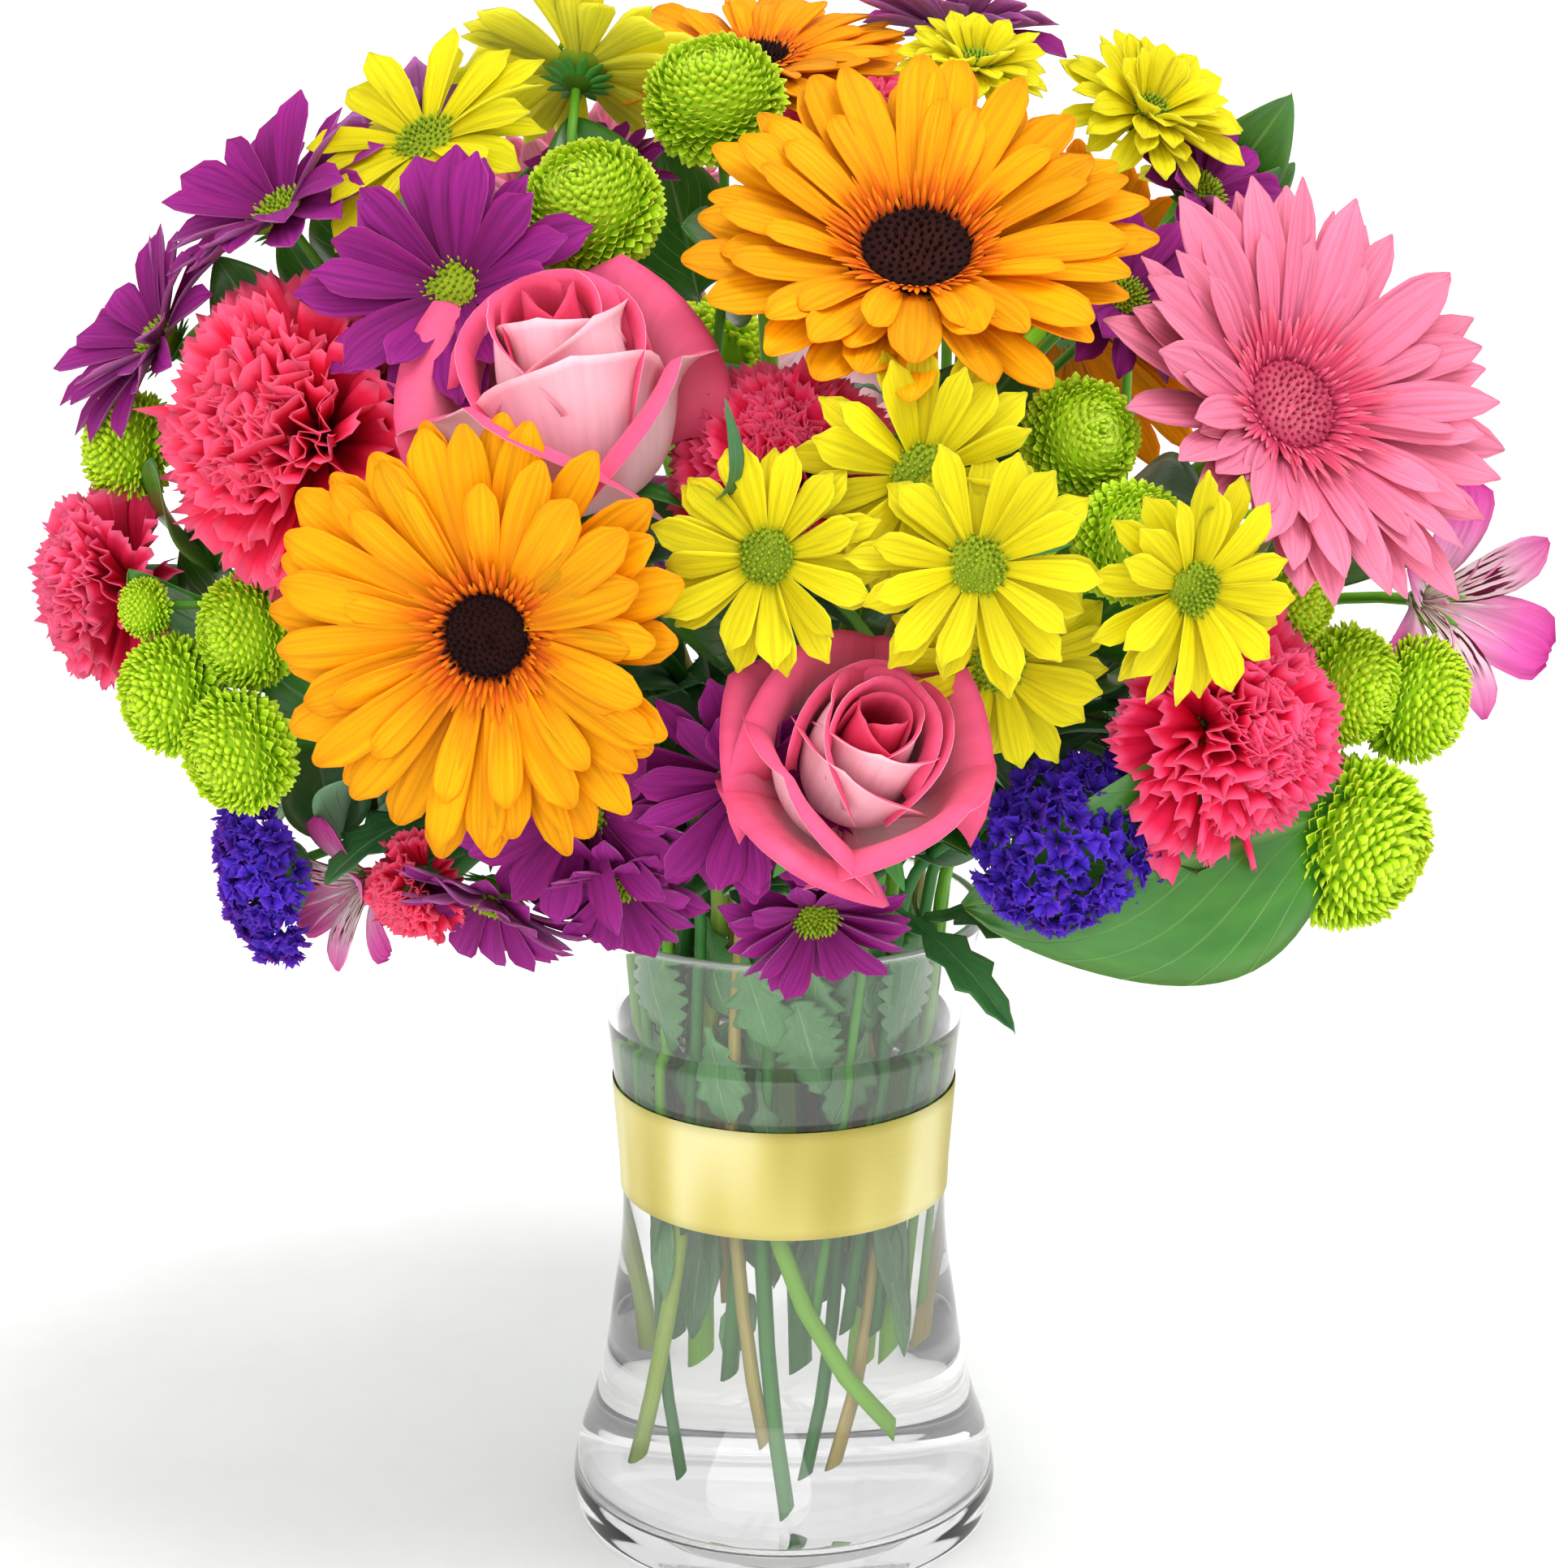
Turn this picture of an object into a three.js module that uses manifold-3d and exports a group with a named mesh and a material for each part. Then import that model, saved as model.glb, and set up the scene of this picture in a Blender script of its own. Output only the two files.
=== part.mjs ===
// Mixed bouquet of gerberas, roses, carnations, daisies, button poms, statice and alstroemeria
// standing in a clear glass vase of water with a satin ribbon round its waist.
// Millimetres, +Z up, origin at the centre of the vase's underside, the front of the bouquet on -Y.
import * as THREE from 'three';
import { mergeVertices } from 'three/addons/utils/BufferGeometryUtils.js';
import Module from 'manifold-3d';

const wasm = await Module();
wasm.setup();

// ---------------------------------------------------------------- driving dimensions
const GAP = 0.35;             // clearance between neighbouring pieces
const VASE_OUTER = [          // [height, radius] up the outside of the glass
  [0, 58], [4, 61], [14.5, 62.3], [38, 56], [70, 49.6], [98, 47], [138, 49.2], [190, 57.6],
];
const GLASS_WALL = 3;
const GLASS_FLOOR = 9;
const FLOOR_FILLET = 3.5;     // the inside corner between floor and wall is drawn in by this
const VASE_SIDES = 24;
const WATER_TOP = 156;
const WATER_SIDES = 14;
const RIBBON_LOW = 105;
const RIBBON_HIGH = 138;
const RIBBON_THICK = 0.9;
const FOOT_HEIGHT = 11.5;     // where the cut stems stand, just above the glass floor
const RIM_HEIGHT = 196;       // where the stems leave the vase and start to spread
const FOOT_RINGS = [0, 11, 22, 33];   // radii of the rings of stems at the foot
const RIM_RINGS = [0, 15, 30.5, 46];  // and at the rim
const STEM_TWIST = -30;       // degrees that the hand-tied stems turn between rim and foot
const GERBERA_STEM = 2.6;     // radii of the stems
const ROSE_STEM = 2.4;
const CARNATION_STEM = 1.9;
const DAISY_STEM = 2.2;
const POM_STEM = 2;
const STATICE_STEM = 1.8;
const ALSTROEMERIA_STEM = 2;
const SALAL_STEM = 2;
const GERBERA_STEM_SIDES = 5;
const STEM_SIDES = 4;
const BRANCH_SIDES = 3;
const LONG_BRANCH = 50;       // a longer branch of a spray bends once on its way to its head
const SLIVER = 0.05;          // facets thinner than this, left by cutting, are merged
const SEED = 20;

// ---------------------------------------------------------------- finishes
const GLASS = { colour: 0xdfe9ea, rough: 0.05 };
const WATER = { colour: 0xcfd8cf, rough: 0.05 };
const SATIN = { colour: 0xefe38f, rough: 0.35 };
const ORANGE = { colour: 0xffab0a, rough: 0.6 };
const PINK = { colour: 0xf07f9f, rough: 0.6 };
const EYE = { colour: 0x2a0f14, rough: 0.9 };
const ROSE = { colour: 0xd94f74, rough: 0.6 };
const CARNATION = { colour: 0xe8305f, rough: 0.7 };
const CRIMSON = { colour: 0xc8203f, rough: 0.7 };
const YELLOW = { colour: 0xf8e800, rough: 0.6 };
const PURPLE = { colour: 0x8a2590, rough: 0.6 };
const LIME = { colour: 0x8cc818, rough: 0.8 };
const VIOLET = { colour: 0x4a2fb8, rough: 0.8 };
const LILAC = { colour: 0xe08ac0, rough: 0.6 };
const STEM_GREEN = { colour: 0x5d8f35, rough: 0.7 };
const LEAF_GREEN = { colour: 0x2a7432, rough: 0.5 };

// ---------------------------------------------------------------- the bouquet
// at: middle of the bloom's face. turn: degrees that it faces round from the front (-Y) towards +X.
// tilt: degrees that it faces up. slot: [ring, clock], where its stem stands in the vase.
const GERBERAS = [
  { name: 'gerbera_orange_left', finish: ORANGE, at: [-71, -165, 313], turn: -20, tilt: 4, radius: 53,
    cup: 6, slot: [2, -36] },
  { name: 'gerbera_orange_centre', finish: ORANGE, at: [33, -106, 396], turn: 0, tilt: 55, radius: 59,
    cup: 15, slot: [1, 30] },
  { name: 'gerbera_pink_right', finish: PINK, at: [127, -90, 351], turn: 31, tilt: 33, radius: 62,
    cup: 25, slot: [2, 84] },
  { name: 'gerbera_orange_top', finish: ORANGE, at: [-8, -5, 428], turn: -10, tilt: 76, radius: 50,
    cup: 12, slot: [0, 0] },
  { name: 'gerbera_pink_back', whole: true, finish: PINK, at: [-62, 122, 352], turn: -153, tilt: 25,
    radius: 56, cup: 14, slot: [2, -156] },
  { name: 'gerbera_orange_back', whole: true, finish: ORANGE, at: [86, 118, 340], turn: 143, tilt: 18,
    radius: 57, cup: 10, slot: [2, 132] },
];
const ROSES = [
  { name: 'rose_upper', at: [-46, -135, 372], turn: -20, tilt: 58, radius: 33, slot: [2, -12] },
  { name: 'rose_lower', at: [15, -172, 284], turn: 18, tilt: 40, radius: 32, slot: [3, 0] },
  { name: 'rose_back', whole: true, at: [14, 152, 296], turn: 175, tilt: 15, radius: 33, slot: [3, 180] },
];
const CARNATIONS = [
  { name: 'carnation_left', finish: CARNATION, at: [-130, -106, 353], turn: -45, tilt: 22, radius: 37,
    slot: [2, -60] },
  { name: 'carnation_far_left', whole: true, finish: CRIMSON, at: [-182, -50, 297], turn: -74, tilt: 4,
    radius: 25, slot: [3, -90] },
  { name: 'carnation_right', finish: CARNATION, at: [116, -128, 273], turn: 38, tilt: 2, radius: 34,
    slot: [3, 60] },
  { name: 'carnation_middle', whole: true, finish: CRIMSON, at: [-4, -112, 354], turn: -5, tilt: 35,
    radius: 25, slot: [2, 12] },
  { name: 'carnation_low', whole: true, finish: CARNATION, at: [-100, -104, 230], turn: -42, tilt: -18,
    radius: 22, slot: [3, -30] },
  { name: 'carnation_back_left', whole: true, finish: CARNATION, at: [-148, 66, 316], turn: -112, tilt: 12,
    radius: 35, slot: [2, -132] },
  { name: 'carnation_back_top', whole: true, finish: CRIMSON, at: [22, 88, 404], turn: 165, tilt: 52,
    radius: 33, slot: [1, 150] },
];
// Daisy sprays, each one solid, apart from the split one: there each ring of petals is a solid of its own.
const DAISY_SPRAYS = [
  { name: 'yellow_daisy_front', finish: YELLOW, slot: [2, 36], split: true,
    heads: [
      { at: [33, -156, 355], turn: 6, tilt: 18, radius: 30 },
      { at: [-4, -170, 333], turn: -8, tilt: 10, radius: 27 },
      { at: [46, -174, 328], turn: 12, tilt: 8, radius: 30 },
      { at: [50, -164, 298], turn: 14, tilt: -8, radius: 28 },
      { at: [105, -133, 326], turn: 35, tilt: 5, radius: 25 },
    ] },
  { name: 'yellow_daisy_top_left', finish: YELLOW, slot: [1, -90],
    heads: [
      { at: [-91, -58, 414], turn: -115, tilt: 48, radius: 28 },
      { at: [-54, -36, 432], turn: 172, tilt: 50, radius: 28 },
    ] },
  { name: 'yellow_daisy_top_right', finish: YELLOW, slot: [1, 90],
    heads: [
      { at: [97, -22, 418], turn: 35, tilt: 50, radius: 25 },
      { at: [50, -34, 432], turn: 15, tilt: 68, radius: 20 },
    ] },
  { name: 'yellow_daisy_back', finish: YELLOW, slot: [3, 120],
    heads: [
      { at: [160, 32, 336], turn: 100, tilt: 20, radius: 29 },
      { at: [150, 84, 284], turn: 118, tilt: -6, radius: 29 },
      { at: [116, 52, 388], turn: 118, tilt: 45, radius: 27 },
    ] },
  { name: 'purple_daisy_left', finish: PURPLE, slot: [2, -84],
    heads: [
      { at: [-82, -108, 388], turn: -22, tilt: 36, radius: 32 },
      { at: [-138, -50, 398], turn: -62, tilt: 52, radius: 31 },
      { at: [-166, -38, 362], turn: -80, tilt: 26, radius: 28 },
    ] },
  { name: 'purple_daisy_low', finish: PURPLE, slot: [3, -15],
    leaves: [
      { from: 0.28, to: [-6, -41, 186], width: 26, turn: 0, tilt: 5 },
      { from: 1, to: [-30, -96, 194], width: 24, turn: -20, tilt: 35 },
    ],
    heads: [
      { at: [-20, -152, 270], turn: -10, tilt: -6, radius: 28 },
      { at: [-52, -136, 254], turn: -18, tilt: -22, radius: 25 },
      { at: [-68, -110, 219], turn: -26, tilt: -46, radius: 20 },
      { at: [8, -132, 230], turn: 5, tilt: -30, radius: 23 },
    ] },
  { name: 'purple_daisy_right', finish: PURPLE, slot: [1, 210],
    heads: [
      { at: [48, 14, 434], turn: 150, tilt: 72, radius: 26 },
      { at: [88, -62, 376], turn: 30, tilt: 50, radius: 21 },
      { at: [112, -14, 396], turn: 60, tilt: 48, radius: 22 },
    ] },
  { name: 'purple_daisy_back', finish: PURPLE, slot: [3, -135],
    heads: [
      { at: [-122, 112, 272], turn: -132, tilt: -2, radius: 29 },
      { at: [-52, 142, 262], turn: -162, tilt: -12, radius: 28 },
      { at: [-104, 50, 396], turn: -125, tilt: 44, radius: 28 },
    ] },
];
const POM_SPRAYS = [
  { name: 'button_poms_left', slot: [3, -75],
    heads: [
      { at: [-160, -90, 276], radius: 16 },
      { at: [-139, -96, 295], radius: 15 },
      { at: [-141, -108, 266], radius: 16 },
      { at: [-167, -84, 298], radius: 8 },
      { at: [-176, -42, 332], radius: 15 },
    ] },
  { name: 'button_poms_top', slot: [1, -30],
    heads: [
      { at: [-18, -62, 428], radius: 18 },
      { at: [-49, -88, 404], radius: 18 },
    ] },
  { name: 'button_poms_centre', slot: [2, 60],
    heads: [
      { at: [74, -122, 352], radius: 15 },
      { at: [86, -143, 330], radius: 15 },
    ] },
  { name: 'button_poms_right', slot: [3, 75],
    heads: [
      { at: [131, -96, 304], radius: 13 },
      { at: [147, -88, 278], radius: 16 },
      { at: [168, -72, 270], radius: 17 },
      { at: [149, -92, 238], radius: 18 },
    ] },
  { name: 'button_poms_back', slot: [3, 150],
    heads: [
      { at: [-22, 140, 322], radius: 17 },
      { at: [70, 138, 268], radius: 18 },
      { at: [112, 116, 268], radius: 16 },
    ] },
];
const STATICE = [
  { name: 'statice_left', slot: [3, -60], at: [-136, -98, 228], turn: -50, tilt: -10, radius: 21 },
  { name: 'statice_right', slot: [3, 30], at: [72, -130, 247], turn: 30, tilt: 0, radius: 22 },
  { name: 'statice_back', slot: [3, -165], at: [-10, 138, 240], turn: -176, tilt: -5, radius: 22 },
];
const ALSTROEMERIAS = [
  { name: 'alstroemeria_right', slot: [3, 90], at: [184, -42, 290], turn: 72, tilt: 12, radius: 24 },
  { name: 'alstroemeria_left', slot: [3, -45], at: [-118, -84, 208], turn: -52, tilt: -14, radius: 15 },
];
// Leaves: from is how far up the stem the leaf grows, to is where its tip is, and turn and tilt are
// where it faces.
const LEAFY_STEMS = [
  { name: 'salal_right', slot: [3, 45], end: [100, -92, 232],
    leaves: [
      { from: 0.97, to: [118, -146, 226], width: 42, turn: 25, tilt: 38 },
      { from: 0.9, to: [148, -62, 214], width: 36, turn: 60, tilt: 40 },
      { from: 0.8, to: [66, -112, 208], width: 30, turn: 20, tilt: 35 },
      { from: 0.84, to: [158, -6, 232], width: 38, turn: 85, tilt: 35 },
    ] },
  { name: 'salal_left', slot: [3, -105], end: [-126, -52, 268],
    leaves: [
      { from: 1, to: [-156, -54, 322], width: 34, turn: -60, tilt: 10 },
      { from: 0.9, to: [-176, -20, 262], width: 36, turn: -80, tilt: 45 },
      { from: 0.8, to: [-140, -56, 226], width: 32, turn: -70, tilt: 40 },
    ] },
  { name: 'salal_back', slot: [3, 165], end: [40, 112, 226],
    leaves: [
      { from: 1, to: [60, 172, 236], width: 40, turn: 165, tilt: 40 },
      { from: 0.92, to: [-4, 156, 214], width: 36, turn: 190, tilt: 40 },
      { from: 0.85, to: [104, 98, 212], width: 36, turn: 130, tilt: 40 },
    ] },
  { name: 'salal_back_left', slot: [3, -120], end: [-118, 66, 250],
    leaves: [
      { from: 1, to: [-178, 66, 262], width: 40, turn: -110, tilt: 40 },
      { from: 0.92, to: [-138, 110, 226], width: 34, turn: -140, tilt: 35 },
      { from: 0.84, to: [-150, 20, 232], width: 36, turn: -90, tilt: 40 },
    ] },
];

// ---------------------------------------------------------------- directions and paths
const rad = THREE.MathUtils.degToRad;
const vec = (list) => new THREE.Vector3(...list);

function facing(turn, tilt) {
  const flat = Math.cos(rad(tilt));
  return new THREE.Vector3(Math.sin(rad(turn)) * flat, -Math.cos(rad(turn)) * flat, Math.sin(rad(tilt)));
}

// Places a bloom that is modelled round +Z: its face looks along turn and tilt.
function stand({ at, turn, tilt }) {
  const out = facing(turn, tilt);
  const side = new THREE.Vector3(Math.cos(rad(turn)), Math.sin(rad(turn)), 0);
  const up = out.clone().cross(side);
  return new THREE.Matrix4().makeBasis(side, up, out).setPosition(...at);
}

function slotPoint([ring, clock], rings, height, twist) {
  const angle = rad(clock + twist);
  return new THREE.Vector3(Math.sin(angle) * rings[ring], -Math.cos(angle) * rings[ring], height);
}

// A stem: straight from the foot of the vase to its rim, then in a bow to the back of its bloom.
function stemPoints(slot, end, out, bow = 3) {
  const foot = slotPoint(slot, FOOT_RINGS, FOOT_HEIGHT, STEM_TWIST);
  const rim = slotPoint(slot, RIM_RINGS, RIM_HEIGHT, 0);
  const reach = rim.distanceTo(end);
  const rise = rim.clone().sub(foot).normalize();
  const leave = rim.clone().addScaledVector(rise, reach * 0.4);
  const arrive = end.clone().addScaledVector(out, -reach * 0.3);
  const curve = new THREE.CubicBezierCurve3(rim, leave, arrive, end);
  return [foot, ...curve.getPoints(bow)];
}

class BentPath extends THREE.Curve {
  constructor(points) {
    super();
    this.points = points;
  }
  getPoint(t, target = new THREE.Vector3()) {
    const place = t * (this.points.length - 1);
    const first = Math.min(Math.floor(place), this.points.length - 2);
    return target.lerpVectors(this.points[first], this.points[first + 1], place - first);
  }
  getUtoTmapping(u) {
    return u;
  }
}

// ---------------------------------------------------------------- solids
function solidOf(positions, faces) {
  let volume = 0;
  const corner = (i) => [positions[3 * i], positions[3 * i + 1], positions[3 * i + 2]];
  for (let i = 0; i < faces.length; i += 3) {
    const [a, b, c] = [corner(faces[i]), corner(faces[i + 1]), corner(faces[i + 2])];
    volume += vec(a).dot(vec(b).cross(vec(c)));
  }
  const turned = faces.slice();
  if (volume < 0) turned.reverse();
  const mesh = new wasm.Mesh({
    numProp: 3,
    vertProperties: new Float32Array(positions),
    triVerts: new Uint32Array(turned),
  });
  return new wasm.Manifold(mesh);
}

function solidFromGeometry(geometry) {
  const bare = geometry.clone();
  bare.deleteAttribute('normal');
  bare.deleteAttribute('uv');
  const merged = mergeVertices(bare, 1e-3);
  const faces = [];
  for (let i = 0; i < merged.index.count; i += 3) {
    const [a, b, c] = [0, 1, 2].map((k) => merged.index.getX(i + k));
    if (a !== b && b !== c && c !== a) faces.push(a, b, c);
  }
  return solidOf(Array.from(merged.attributes.position.array), faces);
}

function lathe(profile, sides) {
  const points = profile.map(([radius, height]) => new THREE.Vector2(radius, height));
  return solidFromGeometry(new THREE.LatheGeometry(points, sides).rotateX(Math.PI / 2));
}

function tube(points, radius, sides) {
  const corners = [];
  for (let i = 0; i < sides; i += 1) {
    const angle = (2 * Math.PI * i) / sides;
    corners.push(new THREE.Vector2(Math.cos(angle) * radius, Math.sin(angle) * radius));
  }
  const path = new BentPath(points);
  const options = { steps: points.length - 1, extrudePath: path, bevelEnabled: false };
  return solidFromGeometry(new THREE.ExtrudeGeometry(new THREE.Shape(corners), options));
}

function moved(solid, matrix) {
  return solid.transform(matrix.elements);
}

function fuse(solids) {
  return wasm.Manifold.union(solids);
}

// The largest piece of a cut solid; loose scraps and sealed hollows are dropped.
function largest(solid) {
  const pieces = solid.decompose();
  return pieces.reduce((best, piece) => (piece.volume() > best.volume() ? piece : best));
}

let seed = SEED;
function random(low, high) {
  seed = (seed * 16807) % 2147483647;
  return low + ((high - low) * seed) / 2147483647;
}

// ---------------------------------------------------------------- petals and leaves
// A thin blade under construction. An edge point is one vertex, where the two faces meet in a sharp edge;
// in the room that a blade needs, it is two vertices, and a wall joins them.
class Blade {
  constructor(grow) {
    this.grow = grow;
    this.positions = [];
    this.faces = [];
  }
  point(spot) {
    this.positions.push(...spot);
    return this.positions.length / 3 - 1;
  }
  edge(place) {
    if (this.grow === 0) {
      const only = this.point(place(0));
      return [only, only];
    }
    return [this.point(place(this.grow)), this.point(place(-this.grow))];
  }
  // Fans from a hub to a round of edge points or vertices, on the front (side 0) or the back (side 1).
  fan(hub, round, side) {
    const ends = round.map((entry) => (Array.isArray(entry) ? entry[side] : entry));
    for (let k = 0; k + 1 < ends.length; k += 1) {
      if (side === 0) this.faces.push(hub, ends[k], ends[k + 1]);
      else this.faces.push(hub, ends[k + 1], ends[k]);
    }
  }
  // Closes the blade's edge along edge points that follow each other anticlockwise, seen from the front.
  wall(edges) {
    if (this.grow === 0) return;
    for (let k = 0; k + 1 < edges.length; k += 1) {
      const [[a, b], [c, d]] = [edges[k], edges[k + 1]];
      this.faces.push(b, d, c, b, c, a);
    }
  }
  solid() {
    return solidOf(this.positions, this.faces);
  }
}

const polar = (radius, angle, height) => [Math.cos(angle) * radius, Math.sin(angle) * radius, height];

// A whorl of petals in a single thin plate. Each petal is a blade with a ridge down its middle, drawn in
// to a narrow claw near the middle of the bloom. rise(r) is the height of the plate at radius r; every
// other petal stands stagger higher. hole leaves a ring that fits round the bloom's boss; without a hole
// the middle of the plate swells up to a disc of height crown and down to a cup of depth keel.
function whorl(shape, grow) {
  const { count, claw, reach, width, thick, rise, phase = 0, ragged = 0, stagger = 0 } = shape;
  const { hole = 0, crown = 0, cup = 0, pointed = true } = shape;
  const blade = new Blade(grow);
  const half = thick / 2 + grow;
  const step = (2 * Math.PI) / count;
  const edge = (radius, angle, lift = 0) => blade.edge(
    (g) => polar(radius, angle, rise(radius) + lift + g));
  const [valleys, upper, lower] = [[], [], []];
  for (let i = 0; i < count; i += 1) {
    const angle = phase + (i + 0.5) * step;
    valleys.push(edge(claw + grow, angle));
    if (hole > 0) {
      upper.push(blade.point(polar(hole - grow, angle, rise(hole) + half)));
      lower.push(blade.point(polar(hole - grow, angle, rise(hole) - half)));
    }
  }
  if (hole === 0) {
    upper.push(blade.point([0, 0, rise(0) + half + crown]));
    lower.push(blade.point([0, 0, rise(0) - half - cup]));
  }
  for (let i = 0; i < count; i += 1) {
    const angle = phase + i * step;
    const lift = i % 2 ? stagger : 0;
    const tip = (reach - 1.5 * lift) * (1 + ragged * Math.sin(i * 2.4)) + grow;
    const shoulder = tip * (pointed ? 0.8 : 0.94);
    const spread = Math.asin(Math.min(0.95, (width / 2 + grow) / shoulder));
    const ridge = blade.point(polar(tip * 0.6, angle, rise(tip * 0.6) + lift + half));
    const keel = blade.point(polar(tip * 0.6, angle, rise(tip * 0.6) + lift - half));
    const last = (i + count - 1) % count;
    const end = pointed ? [edge(tip, angle, lift)] : [];
    const rim = [valleys[last], edge(shoulder, angle - spread, lift), ...end,
      edge(shoulder, angle + spread, lift), valleys[i]];
    const tops = hole > 0 ? [upper[i], upper[last]] : [upper[0]];
    const lows = hole > 0 ? [lower[i], lower[last]] : [lower[0]];
    blade.fan(ridge, [...rim, ...tops, valleys[last]], 0);
    blade.fan(keel, [...rim, ...lows, valleys[last]], 1);
    blade.wall(rim);
    if (hole > 0) {
      blade.faces.push(upper[last], upper[i], lower[i], upper[last], lower[i], lower[last]);
    }
  }
  return blade.solid();
}

const LEAF_ROOT = 6;          // how far a leaf's root reaches into its stem
// A leaf from base to tip: an arched blade, folded along its midrib. lobes cuts its edge.
function leafBlade({ base, tip, out, width, thick = 1.6, arch = 0.12, fold = 0.12, lobes = 0 }, grow) {
  const along = tip.clone().sub(base).normalize();
  const root = base.clone().addScaledVector(along, -LEAF_ROOT);
  const length = tip.distanceTo(root);
  const side = along.clone().cross(out).normalize();
  const up = side.clone().cross(along).normalize();
  const stations = lobes > 0 ? [0.16, 0.3, 0.42, 0.56, 0.66, 0.82] : [0.2, 0.5, 0.8];
  const outline = (s) => Math.sin(Math.PI * Math.pow(s, 0.8)) * (1 - 0.15 * s);
  const blade = new Blade(grow);
  const spot = (s, across, lift) => {
    const place = root.clone().addScaledVector(along, s * length).addScaledVector(side, across);
    return place.addScaledVector(up, lift + length * arch * Math.sin(Math.PI * s)).toArray();
  };
  const edge = (s, across, lift) => blade.edge((g) => spot(s, across, lift + g));
  const half = thick / 2 + grow;
  const first = edge(-grow / length, 0, 0);
  const rows = stations.map((s, i) => {
    const cut = lobes > 0 && i % 2 === 1 ? 1 - lobes : 1;
    const reach = (width / 2) * outline(s) * cut + grow;
    const lift = width * fold * outline(s);
    return {
      left: edge(s, -reach, lift),
      right: edge(s, reach, lift),
      mid: [blade.point(spot(s, 0, half)), blade.point(spot(s, 0, -half))],
    };
  });
  const last = edge(1 + grow / length, 0, 0);
  for (const face of [0, 1]) {
    blade.fan(rows[0].mid[face], [rows[0].left, first, rows[0].right], face);
    for (let i = 0; i + 1 < rows.length; i += 1) {
      const [a, b] = [rows[i], rows[i + 1]];
      blade.fan(a.mid[face], [a.right, b.right, b.mid[face], b.left, a.left], face);
    }
    const stop = rows[rows.length - 1];
    blade.fan(stop.mid[face], [stop.right, last, stop.left], face);
  }
  const [rights, lefts] = [rows.map((row) => row.right), rows.map((row) => row.left)];
  blade.wall([first, ...rights, last, ...lefts.reverse(), first]);
  return blade.solid();
}

// ---------------------------------------------------------------- blooms, each round +Z with its face at 0
const GERBERA_NECK = 5.5;     // radius of the boss that carries the eye through the petals
const DAISY_NECK = 3;
const GERBERA_PETALS = 16;
function gerberaHead({ radius, cup, whole }, grow) {
  const boss = lathe([[0, -19 - grow], [9 + grow, -7], [9.5 + grow, -2.4 + grow],
    [GERBERA_NECK + grow, -2.4 + grow], [GERBERA_NECK + grow, 2.2 + grow], [0, 2.2 + grow]], 6);
  return whole ? fuse([boss, gerberaEye({ radius, cup, seat: 1.8 }, grow)]) : boss;
}

// The dark domed eye, dished underneath where the petals rise towards it.
function gerberaEye({ radius, cup, seat = 2.55 }, grow) {
  const eye = radius * 0.23;
  const edge = seat + 0.8 + (eye - GERBERA_NECK) * Math.tan(rad(cup)) * 1.2;
  return lathe([[0, seat - grow], [GERBERA_NECK + grow, seat - grow], [eye + grow, edge - grow],
    [eye * 0.7, edge + 3 + grow], [0, edge + 1.5 + grow]], 8);
}

function gerberaPetals({ radius, cup }, grow) {
  const slope = Math.tan(rad(cup));
  const hole = GERBERA_NECK + 0.8;
  const rise = (r) => -0.6 + (r - hole) * slope - 4 * Math.pow(r / radius, 3);
  const reach = radius * Math.cos(rad(cup));
  return whorl({ count: GERBERA_PETALS, claw: 13, reach, width: 17, thick: 1.9, rise, ragged: 0.03,
    stagger: 3, hole }, grow);
}

function daisySpindle(grow) {
  return lathe([[0, -8 - grow], [4.8 + grow, -1.2 + grow], [DAISY_NECK + grow, -1.2 + grow],
    [DAISY_NECK + grow, 2.2], [7.4 + grow, 2.4 - grow], [0, 5 + grow]], 5);
}

const DAISY = { count: 8, claw: 8, thick: 2, ragged: 0.04, pointed: false };
const daisyRise = (r) => 0.14 * r - 0.005 * r * r;
function daisyPetals({ radius }, grow) {
  return whorl({ ...DAISY, reach: radius, width: radius * 0.5, rise: daisyRise,
    hole: DAISY_NECK + 0.7 }, grow);
}

// A daisy whose petals, disc and cup are one solid.
function daisyHead({ radius }, grow) {
  return whorl({ ...DAISY, reach: radius, width: radius * 0.5, rise: daisyRise, crown: 4, cup: 7 }, grow);
}

// One frill of a carnation: a plate of crinkled petals with a notched edge.
function frill({ count, reach, low, slope, ruffle, thick, phase }, grow) {
  const blade = new Blade(grow);
  const half = thick / 2 + grow * 1.3;
  const hub = [blade.point([0, 0, low + half]), blade.point([0, 0, low - half])];
  const step = (2 * Math.PI) / count;
  const [mids, edges] = [[], []];
  for (let i = 0; i < count; i += 1) {
    const angle = phase + i * step;
    const mid = reach * 0.6;
    const lift = low + mid * slope + (i % 2 ? ruffle : -ruffle) * 0.5;
    mids.push([half, -half].map((h) => blade.point(polar(mid, angle, lift + h))));
    for (const k of [0, 1]) {
      const out = reach * (k ? 0.88 : 1) * (1 + 0.05 * Math.sin(i * 2.1));
      const height = low + out * slope + (k ? -ruffle : ruffle) * (i % 2 ? 1 : 0.6);
      edges.push(blade.edge((g) => polar(out + grow, angle + k * step * 0.5, height + 1.5 * g)));
    }
  }
  for (let i = 0; i < count; i += 1) {
    const n = (i + 1) % count;
    const [a, b, c] = [edges[2 * i], edges[2 * i + 1], edges[2 * n]];
    for (const face of [0, 1]) {
      blade.fan(hub[face], [mids[i][face], mids[n][face]], face);
      blade.fan(mids[i][face], [a, b, mids[n][face]], face);
      blade.fan(mids[n][face], [b, c], face);
    }
    blade.wall([a, b, c]);
  }
  return blade.solid();
}

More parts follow.
